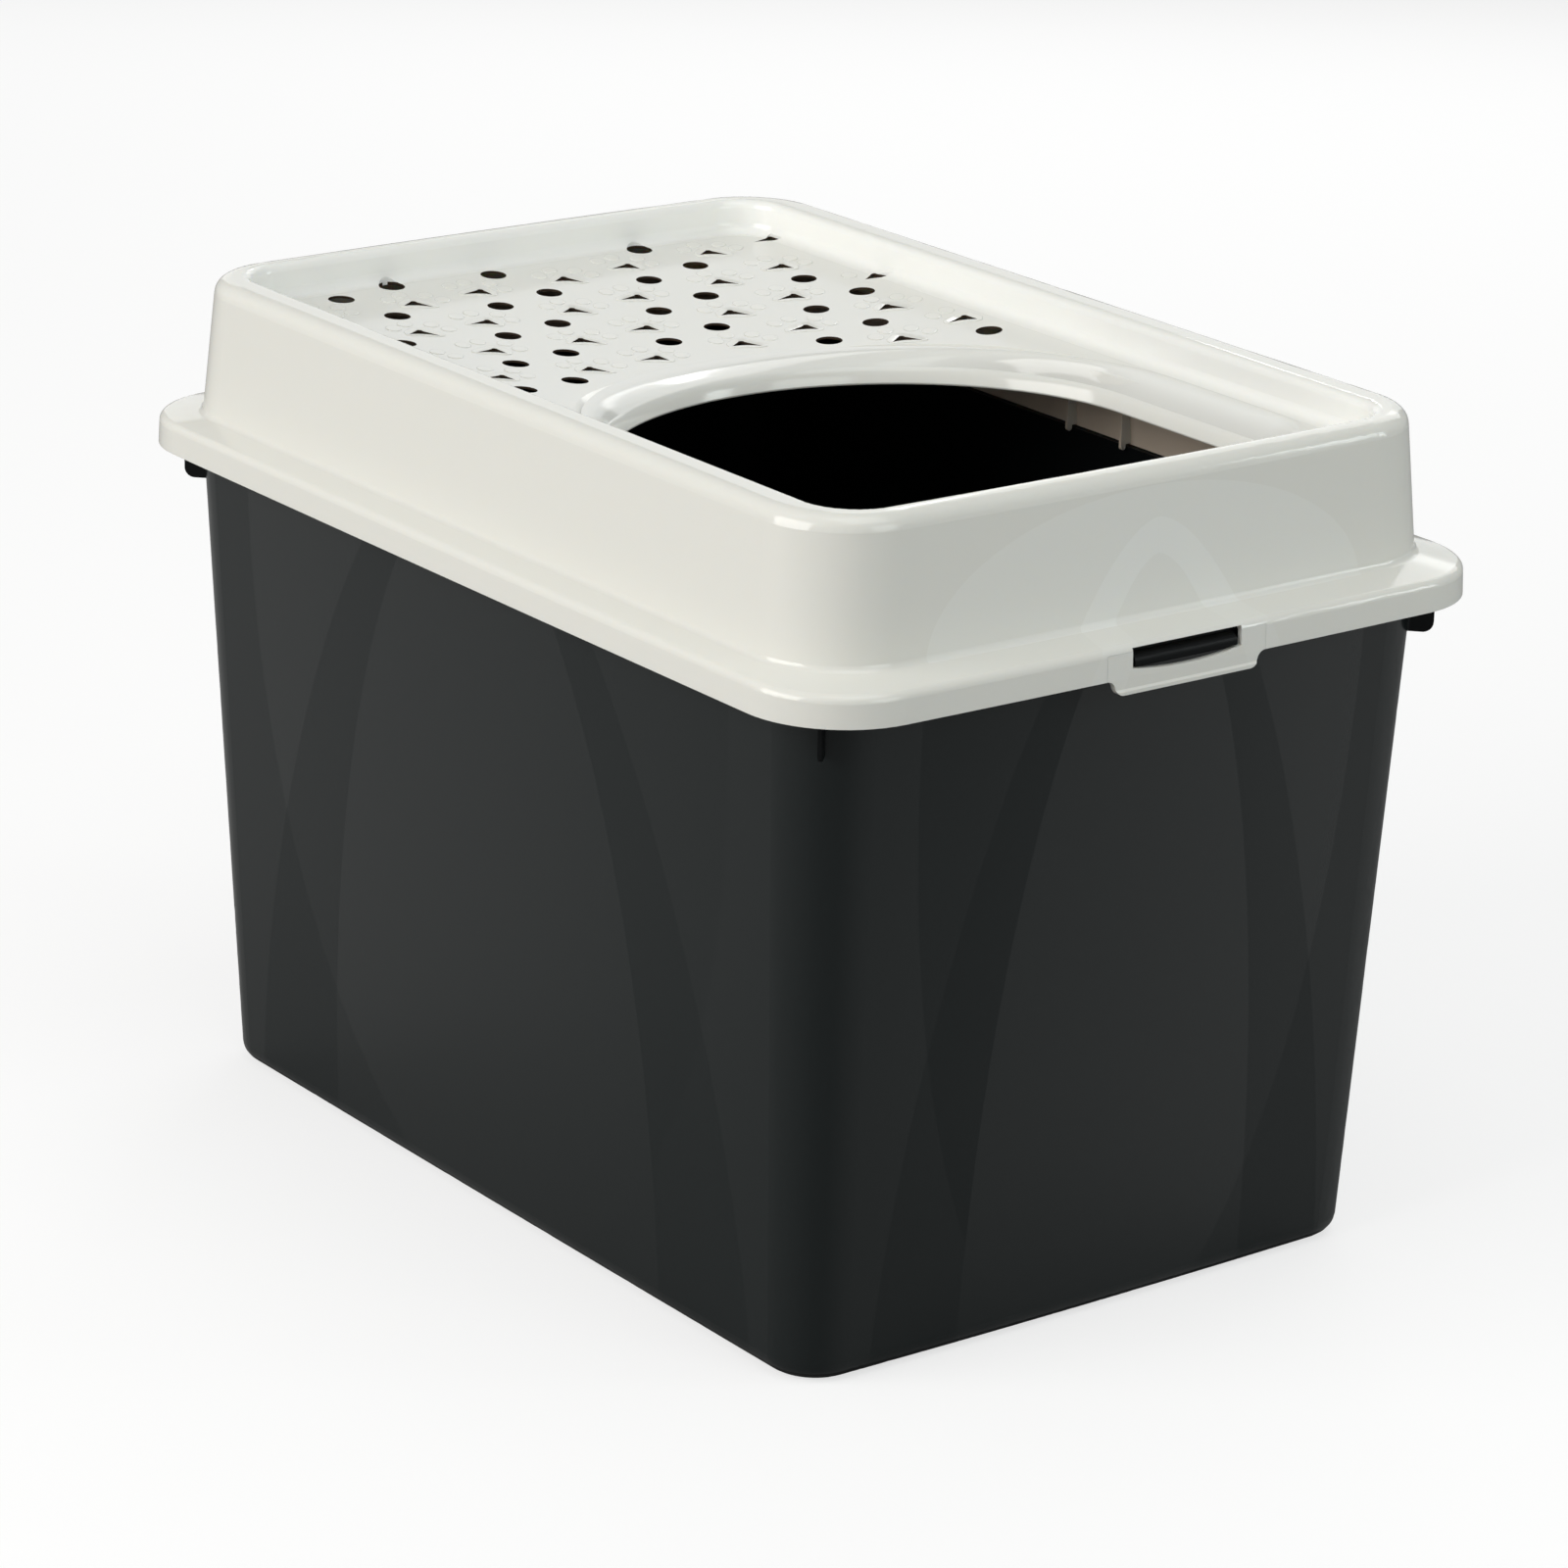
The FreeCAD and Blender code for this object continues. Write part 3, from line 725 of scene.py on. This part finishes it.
    @staticmethod
    def _past(graph: PlasticGraph, x_limit: float, y_limit: float) -> tuple[Socket, Socket]:
        """How far a point lies past a limit to each side, along the length and across the width."""
        limits = ((graph.at.x, x_limit), (graph.at.y, y_limit))
        return tuple(graph.math("SUBTRACT", graph.math("ABSOLUTE", part), limit) for part, limit in limits)

    def _lit_deck_walls(self, graph: PlasticGraph, direction: Place) -> Socket:
        """Mask of the painted light on the walls round the deck, which makes them lighter than the rest of
        the lid.

        The share grows with how far the smooth surface looks towards the middle, and over a short way at the
        deck's edge.

        Args:
            graph: graph of the material.
            direction: direction of the smooth surface.

        Returns:
            1 on the walls, 0 elsewhere.
        """
        inward = graph.math("DIVIDE", self._outward(graph, direction), -self.wall_turn, clamp=True)
        past_x, past_y = self._past(graph, self.wall_from_x, self.wall_from_y)
        beyond = graph.math("DIVIDE", graph.math("MAXIMUM", past_x, past_y), self.wall_blend, clamp=True)
        return graph.product(inward, beyond, graph.math("GREATER_THAN", graph.at.z, self.deck_from))

    def _shaded_inner_walls(self, graph: PlasticGraph, direction: Place) -> Socket:
        """Mask of the faces under the deck that look towards the middle of the box, which get painted shade.

        Args:
            graph: graph of the material.
            direction: direction of the face.

        Returns:
            1 on the inner walls, 0 elsewhere.
        """
        inward = graph.math("LESS_THAN", self._outward(graph, direction), self.inner_turn)
        return graph.product(inward, graph.math("LESS_THAN", graph.at.z, self.inner_to))

    def _shaded_hole_walls(self, graph: PlasticGraph, direction: Place) -> Socket:
        """Mask of the steep walls of the holes in the deck, which are painted dark as shade.

        A wall is where the face is steep, inside the deck's rounded outline, between the deck's underside and
        a little above its dished top, and behind the ellipse of the entry's roll.

        Args:
            graph: graph of the material.
            direction: direction of the face.

        Returns:
            1 on the walls of holes, 0 elsewhere.
        """
        x, y, z = graph.at
        steep = graph.math("LESS_THAN", graph.math("ABSOLUTE", direction.z), self.hole_tilt)
        past = self._past(graph, self.deck_bend_x, self.deck_bend_y)
        over_x, over_y = (graph.math("MAXIMUM", distance, 0.0) for distance in past)
        over = graph.math("SQRT", graph.math("MULTIPLY_ADD", over_x, over_x, graph.product(over_y, over_y)))
        within = graph.math("LESS_THAN", over, self.deck_corner)
        deck = self.deck
        half_x, half_y, edge, sag = (
            size * MILLIMETRE for size in (deck.half_x, deck.half_y, deck.edge_z, deck.sag)
        )
        flat_x = graph.math("MULTIPLY_ADD", graph.product(x, x), -1 / half_x ** 2, 1.0)
        flat_y = graph.math("MULTIPLY_ADD", graph.product(y, y), -1 / half_y ** 2, 1.0)
        dish = graph.math("MULTIPLY_ADD", graph.product(flat_x, flat_y), -sag, edge + self.deck_over)
        below = graph.math("LESS_THAN", z, dish)
        above = graph.math("GREATER_THAN", z, self.deck_from)
        to_centre = graph.math("SUBTRACT", self.roll.centre * MILLIMETRE, x)
        back = graph.math("DIVIDE", to_centre, self.roll.rear_reach * MILLIMETRE)
        aside = graph.math("DIVIDE", y, self.roll.half_width * MILLIMETRE)
        radius = graph.math("ADD", graph.product(back, back), graph.product(aside, aside))
        off_roll = graph.math("GREATER_THAN", radius, 1.0)
        behind = graph.math("GREATER_THAN", back, 0.0)
        return graph.product(steep, above, within, below, off_roll, behind)


# Meshes


def grid_faces(rows: int, columns: int, wrap_rows: bool = False) -> np.ndarray:
    """Quads of a grid of points, row by row, where each row is a closed ring.

    Args:
        rows: number of rows.
        columns: number of points in a row.
        wrap_rows: whether the last row joins the first.

    Returns:
        Point numbers, four to a face.
    """
    row = np.arange(rows if wrap_rows else rows - 1)[:, None] * columns
    next_row = (row + columns) % (rows * columns)
    column = np.arange(columns)[None, :]
    next_column = (column + 1) % columns
    corners = (row + column, row + next_column, next_row + next_column, next_row + column)
    return np.stack(corners, axis=-1).reshape(-1, 4)


def mesh_object(
    name: str, points: np.ndarray, faces: np.ndarray, material: bpy.types.Material, sharp: float
) -> bpy.types.Object:
    """Make a smooth-shaded mesh object at the origin.

    Args:
        name: name of the object.
        points: places in millimetres, one row each.
        faces: point numbers, four to a face.
        material: material of the whole piece.
        sharp: edges that turn more than this many degrees stay sharp.

    Returns:
        The object, linked to the scene.
    """
    mesh = bpy.data.meshes.new(name)
    mesh.from_pydata(points * MILLIMETRE, [], faces)
    mesh.polygons.foreach_set("use_smooth", np.ones(len(faces), bool))
    mesh.set_sharp_from_angle(angle=math.radians(sharp))
    mesh.materials.append(material)
    mesh.update()
    item = bpy.data.objects.new(name, mesh)
    bpy.context.scene.collection.objects.link(item)
    return item


@dataclass
class EntryRoll:
    """The soft roll from the deck down to the collar of the entry, and the collar's rounded lip."""

    deck: Deck
    outer: EntryRing = ENTRY_OUTER
    crease: EntryRing = EntryRing(139.88, 121.88, 78.0, 221.88, 48.88)
    edge: EntryRing = EntryRing(135.9, 117.9, 78.0, 217.9, 44.9)
    lip_growth: EntryRing = EntryRing(1, 1, 0, 1, 1)
    crease_z: float = 374.65
    edge_z: float = 367.5
    collar_start_share: float = 0.3
    rear_power: float = 3.0
    side_power: float = 3.5
    swell: float = 0.25
    lip_radius: float = 1.25
    lift: float = 0.02
    skin: float = 0.8
    sharp_angle: float = 14.0
    rear_points: int = 120
    side_points: int = 12
    corner_points: int = 20
    front_points: int = 16
    roll_rows: int = 22
    collar_rows: int = 12
    lip_rows: int = 16
    back_step: int = 3

    def _outline(self, rings: np.ndarray) -> tuple[np.ndarray, np.ndarray]:
        """Points round a set of outlines.

        Args:
            rings: the ring sizes along the last axis, one row for each outline.

        Returns:
            x and y of the points, one row for each outline.
        """
        half_width, rear, centre, front, corner = (sizes[:, None] for sizes in rings.T)
        swing = np.linspace(-np.pi / 2, np.pi / 2, self.rear_points, endpoint=False)[None, :]
        run = np.linspace(0, 1, self.side_points, endpoint=False)[None, :]
        turn = np.linspace(0, np.pi / 2, self.corner_points, endpoint=False)[None, :]
        pass_over = np.linspace(1, -1, self.front_points, endpoint=False)[None, :]
        bend_x = front - corner
        bend_y = half_width - corner
        flat = np.ones_like(run)
        x = np.concatenate([
            centre - rear * np.cos(swing), centre + (bend_x - centre) * run, bend_x + corner * np.sin(turn),
            front * np.ones_like(pass_over), bend_x + corner * np.cos(turn), bend_x + (centre - bend_x) * run,
        ], axis=1)
        y = np.concatenate([
            half_width * np.sin(swing), half_width * flat, bend_y + corner * np.cos(turn),
            bend_y * pass_over, -bend_y - corner * np.sin(turn), -half_width * flat,
        ], axis=1)
        return x, y

    def surface(self) -> np.ndarray:
        """The roll as rows of rings, from the deck over the roll and collar, round the lip and back inside.

        Across the roll, depth below the deck is the drop at the crease times s to a power, less a swell times
        4 s (1 - s), where s is the share of the way to the crease. The power grows from the rear to the sides
        with the square of the way across. Across the collar, depth is collar height times (c s + (1 - c) s
        squared), where c is the collar's start share. The lip is half a circle.

        Returns:
            Points in rows of rings.
        """
        outer, crease, edge = (np.array(ring)[None, :] for ring in (self.outer, self.crease, self.edge))
        share = np.linspace(0, 1, self.roll_rows)[:, None]
        x, y = self._outline(outer + (crease - outer) * share)
        ground = self.deck.height(x, y) + self.lift
        power = self.rear_power + (self.side_power - self.rear_power) * (y[:1] / self.outer.half_width) ** 2
        fall = (ground[-1:] - self.crease_z) * share ** power
        rows = [(x, y, ground - fall + 4 * self.swell * share * (1 - share))]

        share = np.linspace(0, 1, self.collar_rows + 1)[1:, None]
        x, y = self._outline(crease + (edge - crease) * share)
        fall = self.crease_z - self.edge_z
        bend = self.collar_start_share * share + (1 - self.collar_start_share) * share ** 2
        rows.append((x, y, (self.crease_z - fall * bend) * np.ones_like(x)))

        turn = np.linspace(0, np.pi, self.lip_rows + 1)[1:, None]
        out = self.lip_radius * (1 - np.cos(turn))
        x, y = self._outline(edge + out * np.array(self.lip_growth)[None, :])
        rows.append((x, y, (self.edge_z - self.lip_radius * np.sin(turn)) * np.ones_like(x)))

        front = np.concatenate([np.stack(row, axis=-1) for row in rows])
        back = front[self.roll_rows - 1::-self.back_step].copy()
        back[..., 2] -= self.skin
        return np.concatenate([front, back])

    def build(self, material: bpy.types.Material) -> bpy.types.Object:
        """Make the roll and let it ride on the lid.

        Args:
            material: the lid's plastic.

        Returns:
            The roll.
        """
        points = self.surface()
        rows, columns = points.shape[:2]
        faces = grid_faces(rows, columns, wrap_rows=True)[:, ::-1]
        item = mesh_object("entry_roll", points.reshape(-1, 3), faces, material, self.sharp_angle)
        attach(item, Body.LID.value)
        return item


class Paw(NamedTuple):
    """One kind of paw: place in a lattice cell, turn from the heading, and 1 for left or -1 for right."""

    shares: tuple
    turn: float
    side: int


@dataclass
class PawMarks:
    """Raised paw marks on the deck: four toes round each pad, and a raised band round the pad's hole.

    Left and right paws alternate, and are mirror images of each other. A list of shares runs from the outer
    foot of a mark up its rounded edge and over its flat top.
    """

    deck: Deck
    roll: EntryRoll
    row_step: float = 51.7
    row_gap: float = 77.8
    row_angle: float = -29.8
    cross_angle: float = 58.5
    heading: float = 180.0
    start: tuple = (-238.0, 80.5)
    lattice_reach: int = 14
    paws: tuple = (Paw((0.046, 0.483), -1.3, 1), Paw((0.567, 0.865), 5.8, -1))
    reach_x: float = 226.0
    reach_y: float = 152.9
    entry_centre: float = 78.0
    entry_reach: float = 148.0
    entry_half: float = 166.0
    toe_places: tuple = ((4.2, 14.9), (13.4, 9.2), (15.0, -3.6), (8.8, -11.9))
    toe_long: float = 5.2
    toe_short: float = 4.0
    toe_fan_share: float = 0.3
    toe_size_shares: tuple = (1.0, 0.98, 0.94, 0.88, 0.8, 0.01)
    toe_points: int = 18
    pad_length: float = 8.6
    pad_width: float = 14.8
    pad_hollow: float = 1.6
    pad_nose: float = 1.48
    pad_nose_shift: float = 2.5
    nose_points: int = 7
    flank_points: int = 6
    heel_points: int = 9
    band_width: float = 4.2
    band_start: float = 0.2
    band_way_shares: tuple = (1.0, 0.985, 0.95, 0.9, 0.82, 0.0, 0.0)
    band_brim: float = 0.02
    height: float = 0.35
    edge_height_shares: tuple = (0.3, 0.8)
    sink: float = 0.25
    wall_gap: float = 6.0
    sharp_angle: float = 60.0

    def _places(self, shares: tuple[float, float]) -> np.ndarray:
        """Pad places of one kind of paw: whole steps along and across the rows, kept where the pads are.

        Args:
            shares: place of the paw in one cell of the lattice.

        Returns:
            x and y of each pad.
        """
        count = np.arange(-self.lattice_reach, self.lattice_reach + 1)
        i, j = (grid.ravel()[:, None] for grid in np.meshgrid(count, count))
        angles = np.radians([self.row_angle, self.cross_angle])
        steps = np.array([[self.row_step], [self.row_gap]])
        along, cross = steps * np.stack([np.cos(angles), np.sin(angles)], axis=1)
        places = np.array(self.start) + (i + shares[0]) * along + (j + shares[1]) * cross
        x, y = places.T
        on_deck = (np.abs(x) < self.reach_x) & (np.abs(y) < self.reach_y)
        back = np.minimum(x - self.entry_centre, 0) / self.entry_reach
        behind = (x < self.entry_centre) & (back ** 2 + (y / self.entry_half) ** 2 > 1)
        return places[on_deck & behind]

    def _clear(self, places: np.ndarray, reach: float) -> np.ndarray:
        """Whether marks of a reach stay on the open deck.

        Args:
            places: x and y of each mark.
            reach: size of the mark to each side.

        Returns:
            True where a mark is clear of the walls and of the roll.
        """
        x, y = places.T
        ring = self.roll.outer
        back = np.minimum(x - ring.centre, 0) / (ring.rear_reach + reach)
        off_roll = back ** 2 + (y / (ring.half_width + reach)) ** 2 > 1
        flat = self.wall_gap + reach
        return off_roll & (np.abs(x) < self.deck.half_x - flat) & (np.abs(y) < self.deck.half_y - flat)

    def _edge_lifts(self) -> list[float]:
        """Heights from the sunk foot of a mark up its rounded edge."""
        return [-self.sink] + [share * self.height for share in self.edge_height_shares]

    def _toe_outlines(self, places: np.ndarray, angle: float, side: int) -> np.ndarray:
        """Toe outlines: ellipses that fan out from the pad.

        Args:
            places: pad places.
            angle: direction of the paw, in radians.
            side: 1 for a left paw, -1 for a right paw.

        Returns:
            Points by toe, place round the outline and axis.
        """
        toe = np.array(self.toe_places) * np.array([1, side])
        turn = np.array([[math.cos(angle), math.sin(angle)], [-math.sin(angle), math.cos(angle)]])
        centres = (places[:, None, :] + (toe @ turn)[None, :, :]).reshape(-1, 2)
        fan = self.toe_fan_share * np.arctan2(toe[:, 1], toe[:, 0] + self.pad_width)
        lean = np.tile(angle + fan, len(places))
        keep = self._clear(centres, self.toe_long)
        centres, lean = centres[keep], lean[keep]
        swing = np.linspace(0, 2 * np.pi, self.toe_points, endpoint=False)
        u, v = self.toe_long * np.cos(swing), self.toe_short * np.sin(swing)
        cos, sin = np.cos(lean)[:, None], np.sin(lean)[:, None]
        return centres[:, None, :] + np.stack([u * cos - v * sin, u * sin + v * cos], axis=-1)

    def _toes(self, places: np.ndarray, angle: float, side: int) -> tuple[np.ndarray, np.ndarray]:
        """Low flat toes: each outline shrinks to its middle while it climbs a rounded edge to one height.

        Args:
            places: pad places.
            angle: direction of the paw, in radians.
            side: 1 for a left paw, -1 for a right paw.

        Returns:
            Points and faces.
        """
        outline = self._toe_outlines(places, angle, side)
        centre = outline.mean(axis=1, keepdims=True)
        shrink = np.array(self.toe_size_shares)
        edge = self._edge_lifts()
        lift = np.array(edge + [self.height] * (len(shrink) - len(edge)))
        flat = centre[:, None] + (outline - centre)[:, None] * shrink[None, :, None, None]
        x, y = flat[..., 0], flat[..., 1]
        return self._stack(np.stack([x, y, self.deck.height(x, y) + lift[None, :, None]], axis=-1))

    def _pad_outline(self, side: int) -> np.ndarray:
        """Outline of a pad: straight flanks, a round nose towards +u set to one side, and a hollow heel.

        Args:
            side: 1 for a left paw, -1 for a right paw.

        Returns:
            Points round the outline, counter-clockwise from the right of the nose.
        """
        half_length, half_width = self.pad_length / 2, self.pad_width / 2
        swing = np.linspace(-np.pi / 2, np.pi / 2, self.nose_points)
        nose = np.stack([
            half_length - self.pad_nose + self.pad_nose * np.cos(swing),
            side * self.pad_nose_shift + self.pad_nose * np.sin(swing),
        ], axis=-1)
        heel_left, heel_right = np.array([-half_length, half_width]), np.array([-half_length, -half_width])
        run = np.linspace(0, 1, self.flank_points + 1)[:, None]
        left = nose[-1] + (heel_left - nose[-1]) * run[1:]
        span = np.linspace(1, -1, self.heel_points + 2)[1:-1]
        heel = np.stack([self.pad_hollow * (1 - span ** 2) - half_length, half_width * span], axis=-1)
        right = heel_right + (nose[0] - heel_right) * run[:-1]
        return np.concatenate([nose, left, heel, right])

    def _bands(self, places: np.ndarray, angle: float, side: int) -> tuple[np.ndarray, np.ndarray]:
        """Raised bands round the pads: the outline moved out along its normals, with a rounded outer edge.

        Each normal is evened out with its two neighbours, so that the band runs smoothly round the corners.

        Args:
            places: pad places.
            angle: direction of the paw, in radians.
            side: 1 for a left paw, -1 for a right paw.

        Returns:
            Points and faces.
        """
        places = places[self._clear(places, self.pad_width / 2 + self.band_width - self.wall_gap)]
        outline = self._pad_outline(side)
        run = np.roll(outline, -1, axis=0) - np.roll(outline, 1, axis=0)
        normal = np.stack([run[:, 1], -run[:, 0]], axis=-1) / np.linalg.norm(run, axis=1, keepdims=True)
        normal = (np.roll(normal, 1, axis=0) + 2 * normal + np.roll(normal, -1, axis=0)) / 4
        out = np.array(self.band_way_shares) * (self.band_width - self.band_start) + self.band_start
        lift = np.array(self._edge_lifts() + [self.height, self.height, self.band_brim, -self.sink])
        flat = outline[None] + normal[None] * out[:, None, None]
        u, v = flat[..., 0], flat[..., 1]
        x = places[:, 0, None, None] + u * math.cos(angle) - v * math.sin(angle)
        y = places[:, 1, None, None] + u * math.sin(angle) + v * math.cos(angle)
        return self._stack(np.stack([x, y, self.deck.height(x, y) + lift[:, None]], axis=-1))

    @staticmethod
    def _stack(points: np.ndarray) -> tuple[np.ndarray, np.ndarray]:
        """Join many equal ring grids into one set.

        Args:
            points: points by copy, row and column.

        Returns:
            Points and faces of all copies.
        """
        copies, rows, columns = points.shape[:3]
        faces = grid_faces(rows, columns)
        shift = (np.arange(copies) * rows * columns)[:, None, None]
        return points.reshape(-1, 3), (faces[None] + shift).reshape(-1, 4)

    def build(self, material: bpy.types.Material) -> bpy.types.Object:
        """Make all marks as one piece that rides on the lid.

        Args:
            material: the lid's plastic.

        Returns:
            The marks.
        """
        points, faces, total = [], [], 0
        for paw in self.paws:
            angle = math.radians(self.row_angle + self.heading + paw.turn)
            places = self._places(paw.shares)
            for shape in (self._toes, self._bands):
                more, quads = shape(places, angle, paw.side)
                points.append(more)
                faces.append(quads + total)
                total += len(more)
        points, faces = np.concatenate(points), np.concatenate(faces)
        item = mesh_object("paw_marks", points, faces, material, self.sharp_angle)
        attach(item, Body.LID.value)
        return item


# Studio


@dataclass
class Camera:
    """The view of the photograph: a camera on a sphere round a target, with a small roll."""

    azimuth: float = 53.002
    elevation: float = 19.003
    roll: float = 1.494
    distance: float = 2.699141
    target: tuple = (0.000984, 0.001305, 0.18344)
    focal_pixels: float = 5733.456
    image_pixels: float = 1600.0
    sensor: float = 36.0

    def build(self) -> None:
        """Make the camera and hand it to the scene."""
        azimuth, elevation, roll = (math.radians(a) for a in (self.azimuth, self.elevation, self.roll))
        level = math.cos(elevation)
        back = Vector((math.sin(azimuth) * level, -math.cos(azimuth) * level, math.sin(elevation)))
        right = Vector((math.cos(azimuth), math.sin(azimuth), 0))
        up = back.cross(right)
        side = right * math.cos(roll) + up * math.sin(roll)
        top = up * math.cos(roll) - right * math.sin(roll)
        lens = bpy.data.cameras.new("camera")
        lens.sensor_width = self.sensor
        lens.lens = self.sensor * self.focal_pixels / self.image_pixels
        item = bpy.data.objects.new("camera", lens)
        turn = Matrix((side, top, back)).transposed().to_4x4()
        item.matrix_world = Matrix.Translation(Vector(self.target) + back * self.distance) @ turn
        bpy.context.scene.collection.objects.link(item)
        bpy.context.scene.camera = item


class Lamp(NamedTuple):
    """A soft box: its name, where it hangs, its width, height, power, colour and turn about its own axis."""

    name: str
    place: tuple
    width: float
    height: float
    power: float
    colour: tuple
    turn: float = 0.0


@dataclass
class Studio:
    """Pale floor, plain surroundings and soft boxes."""

    floor_half: float = 6.0
    floor_grey: float = 0.35
    floor_roughness: float = 0.9
    floor_lift: float = 0.68
    sky: float = 0.32
    backdrop: float = 0.8
    aim: tuple = (0.0, 0.0, 0.2)
    lamps: tuple = (
        Lamp("key", (-0.35, -2.85, 1.5), 2.5, 1.9, 68.0, (1.0, 0.985, 0.955)),
        Lamp("fill", (2.7, 0.5, 1.3), 1.4, 1.2, 12.0, (0.93, 1.0, 0.98)),
        Lamp("top", (0.9, 0.0, 2.5), 1.6, 1.6, 11.5, (0.97, 1.0, 0.985)),
        Lamp("back", (-1.4, 2.3, 2.0), 2.0, 1.6, 14.0, (1.0, 1.0, 0.99)),
        Lamp("panel", (-2.2, 1.7, 0.95), 2.4, 1.2, 7.0, (0.98, 1.0, 0.99)),
        Lamp("strip", (1.8, 1.9, 1.05), 0.5, 0.8, 6.0, (0.93, 1.0, 1.0)),
        Lamp("window", (-1.63, 1.535, 1.662), 0.09, 0.52, 1.0, (1.0, 1.0, 1.0), 33.5),
    )

    def _floor(self) -> None:
        """Make the floor: mid grey to lamps and reflections, nearly white to the camera, with a shadow."""
        half = self.floor_half
        corners = [(-half, -half, 0), (half, -half, 0), (half, half, 0), (-half, half, 0)]
        mesh = bpy.data.meshes.new("floor")
        mesh.from_pydata(corners, [], [(0, 1, 2, 3)])
        item = bpy.data.objects.new("floor", mesh)
        bpy.context.scene.collection.objects.link(item)
        material = bpy.data.materials.new("floor_paper")
        material.use_nodes = True
        graph = Graph(material.node_tree)
        shader = material.node_tree.nodes["Principled BSDF"]
        shader.inputs["Base Color"].default_value = (self.floor_grey, self.floor_grey, self.floor_grey, 1.0)
        shader.inputs["Roughness"].default_value = self.floor_roughness
        shader.inputs["Specular IOR Level"].default_value = 0.0
        glow = graph.add("ShaderNodeEmission")
        glow.inputs["Color"].default_value = WHITE
        seen = graph.add("ShaderNodeLightPath").outputs["Is Camera Ray"]
        graph.feed(glow.inputs["Strength"], graph.product(seen, self.floor_lift))
        both = graph.add("ShaderNodeAddShader")
        graph.feed(both.inputs[0], shader.outputs[0])
        graph.feed(both.inputs[1], glow.outputs[0])
        graph.feed(material.node_tree.nodes["Material Output"].inputs["Surface"], both.outputs[0])
        mesh.materials.append(material)

    def _world(self) -> None:
        """Make the surroundings: the far floor's tone to the camera, a dim even grey to everything else."""
        world = bpy.data.worlds.new("studio")
        world.use_nodes = True
        graph = Graph(world.node_tree)
        ground = world.node_tree.nodes["Background"]
        ground.inputs["Color"].default_value = WHITE
        seen = graph.add("ShaderNodeLightPath").outputs["Is Camera Ray"]
        graph.feed(ground.inputs["Strength"], graph.between(seen, self.sky, self.backdrop))
        bpy.context.scene.world = world

    def _lamp(self, lamp: Lamp) -> None:
        """Hang one soft box and aim it at the object.

        Args:
            lamp: the soft box.
        """
        light = bpy.data.lights.new(lamp.name, "AREA")
        light.shape = "RECTANGLE"
        light.size = lamp.width
        light.size_y = lamp.height
        light.energy = lamp.power
        light.color = lamp.colour
        item = bpy.data.objects.new(lamp.name, light)
        item.location = lamp.place
        facing = (Vector(self.aim) - Vector(lamp.place)).to_track_quat("-Z", "Y")
        item.rotation_euler = (facing @ Quaternion((0, 0, 1), math.radians(lamp.turn))).to_euler()
        item.visible_camera = False
        bpy.context.scene.collection.objects.link(item)

    def build(self) -> None:
        """Make the floor, the surroundings and every lamp."""
        self._floor()
        self._world()
        for lamp in self.lamps:
            self._lamp(lamp)
        bpy.context.scene.view_settings.view_transform = "Standard"


# The litter box


class LitterBox:
    """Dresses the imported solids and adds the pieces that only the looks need."""

    def __init__(self, nodes: dict) -> None:
        """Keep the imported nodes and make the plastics.

        Args:
            nodes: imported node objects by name.
        """
        self.nodes = nodes
        maker = GroupMaker()
        groups = {"grain": maker.grain(), "arch": maker.arch(), "oval": maker.oval()}
        self.tub_plastic = TubPlastic().build(groups)
        # Only the lid gets the painted shade in its holes; the marks have none.
        self.lid_plastic = LidPlastic(hole_shade_share=1.0).build(groups)
        self.mark_plastic = LidPlastic(name="off_white_marks").build(groups)

    def dress(self) -> None:
        """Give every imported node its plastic."""
        for name, node in self.nodes.items():
            node.data.materials.clear()
            node.data.materials.append(self.tub_plastic if name == Body.TUB.value else self.lid_plastic)
            log.info("dressed %s", name)

    def add_details(self) -> None:
        """Add the roll and the paw marks."""
        deck = Deck()
        roll = EntryRoll(deck)
        for item in (roll.build(self.lid_plastic), PawMarks(deck, roll).build(self.mark_plastic)):
            log.info("added %s with %d faces", item.name, len(item.data.polygons))


def main() -> None:
    logging.basicConfig(level=logging.INFO)
    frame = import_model()
    box = LitterBox(frame["nodes"])
    box.dress()
    box.add_details()
    Camera().build()
    Studio().build()


if __name__ == "__main__":
    main()
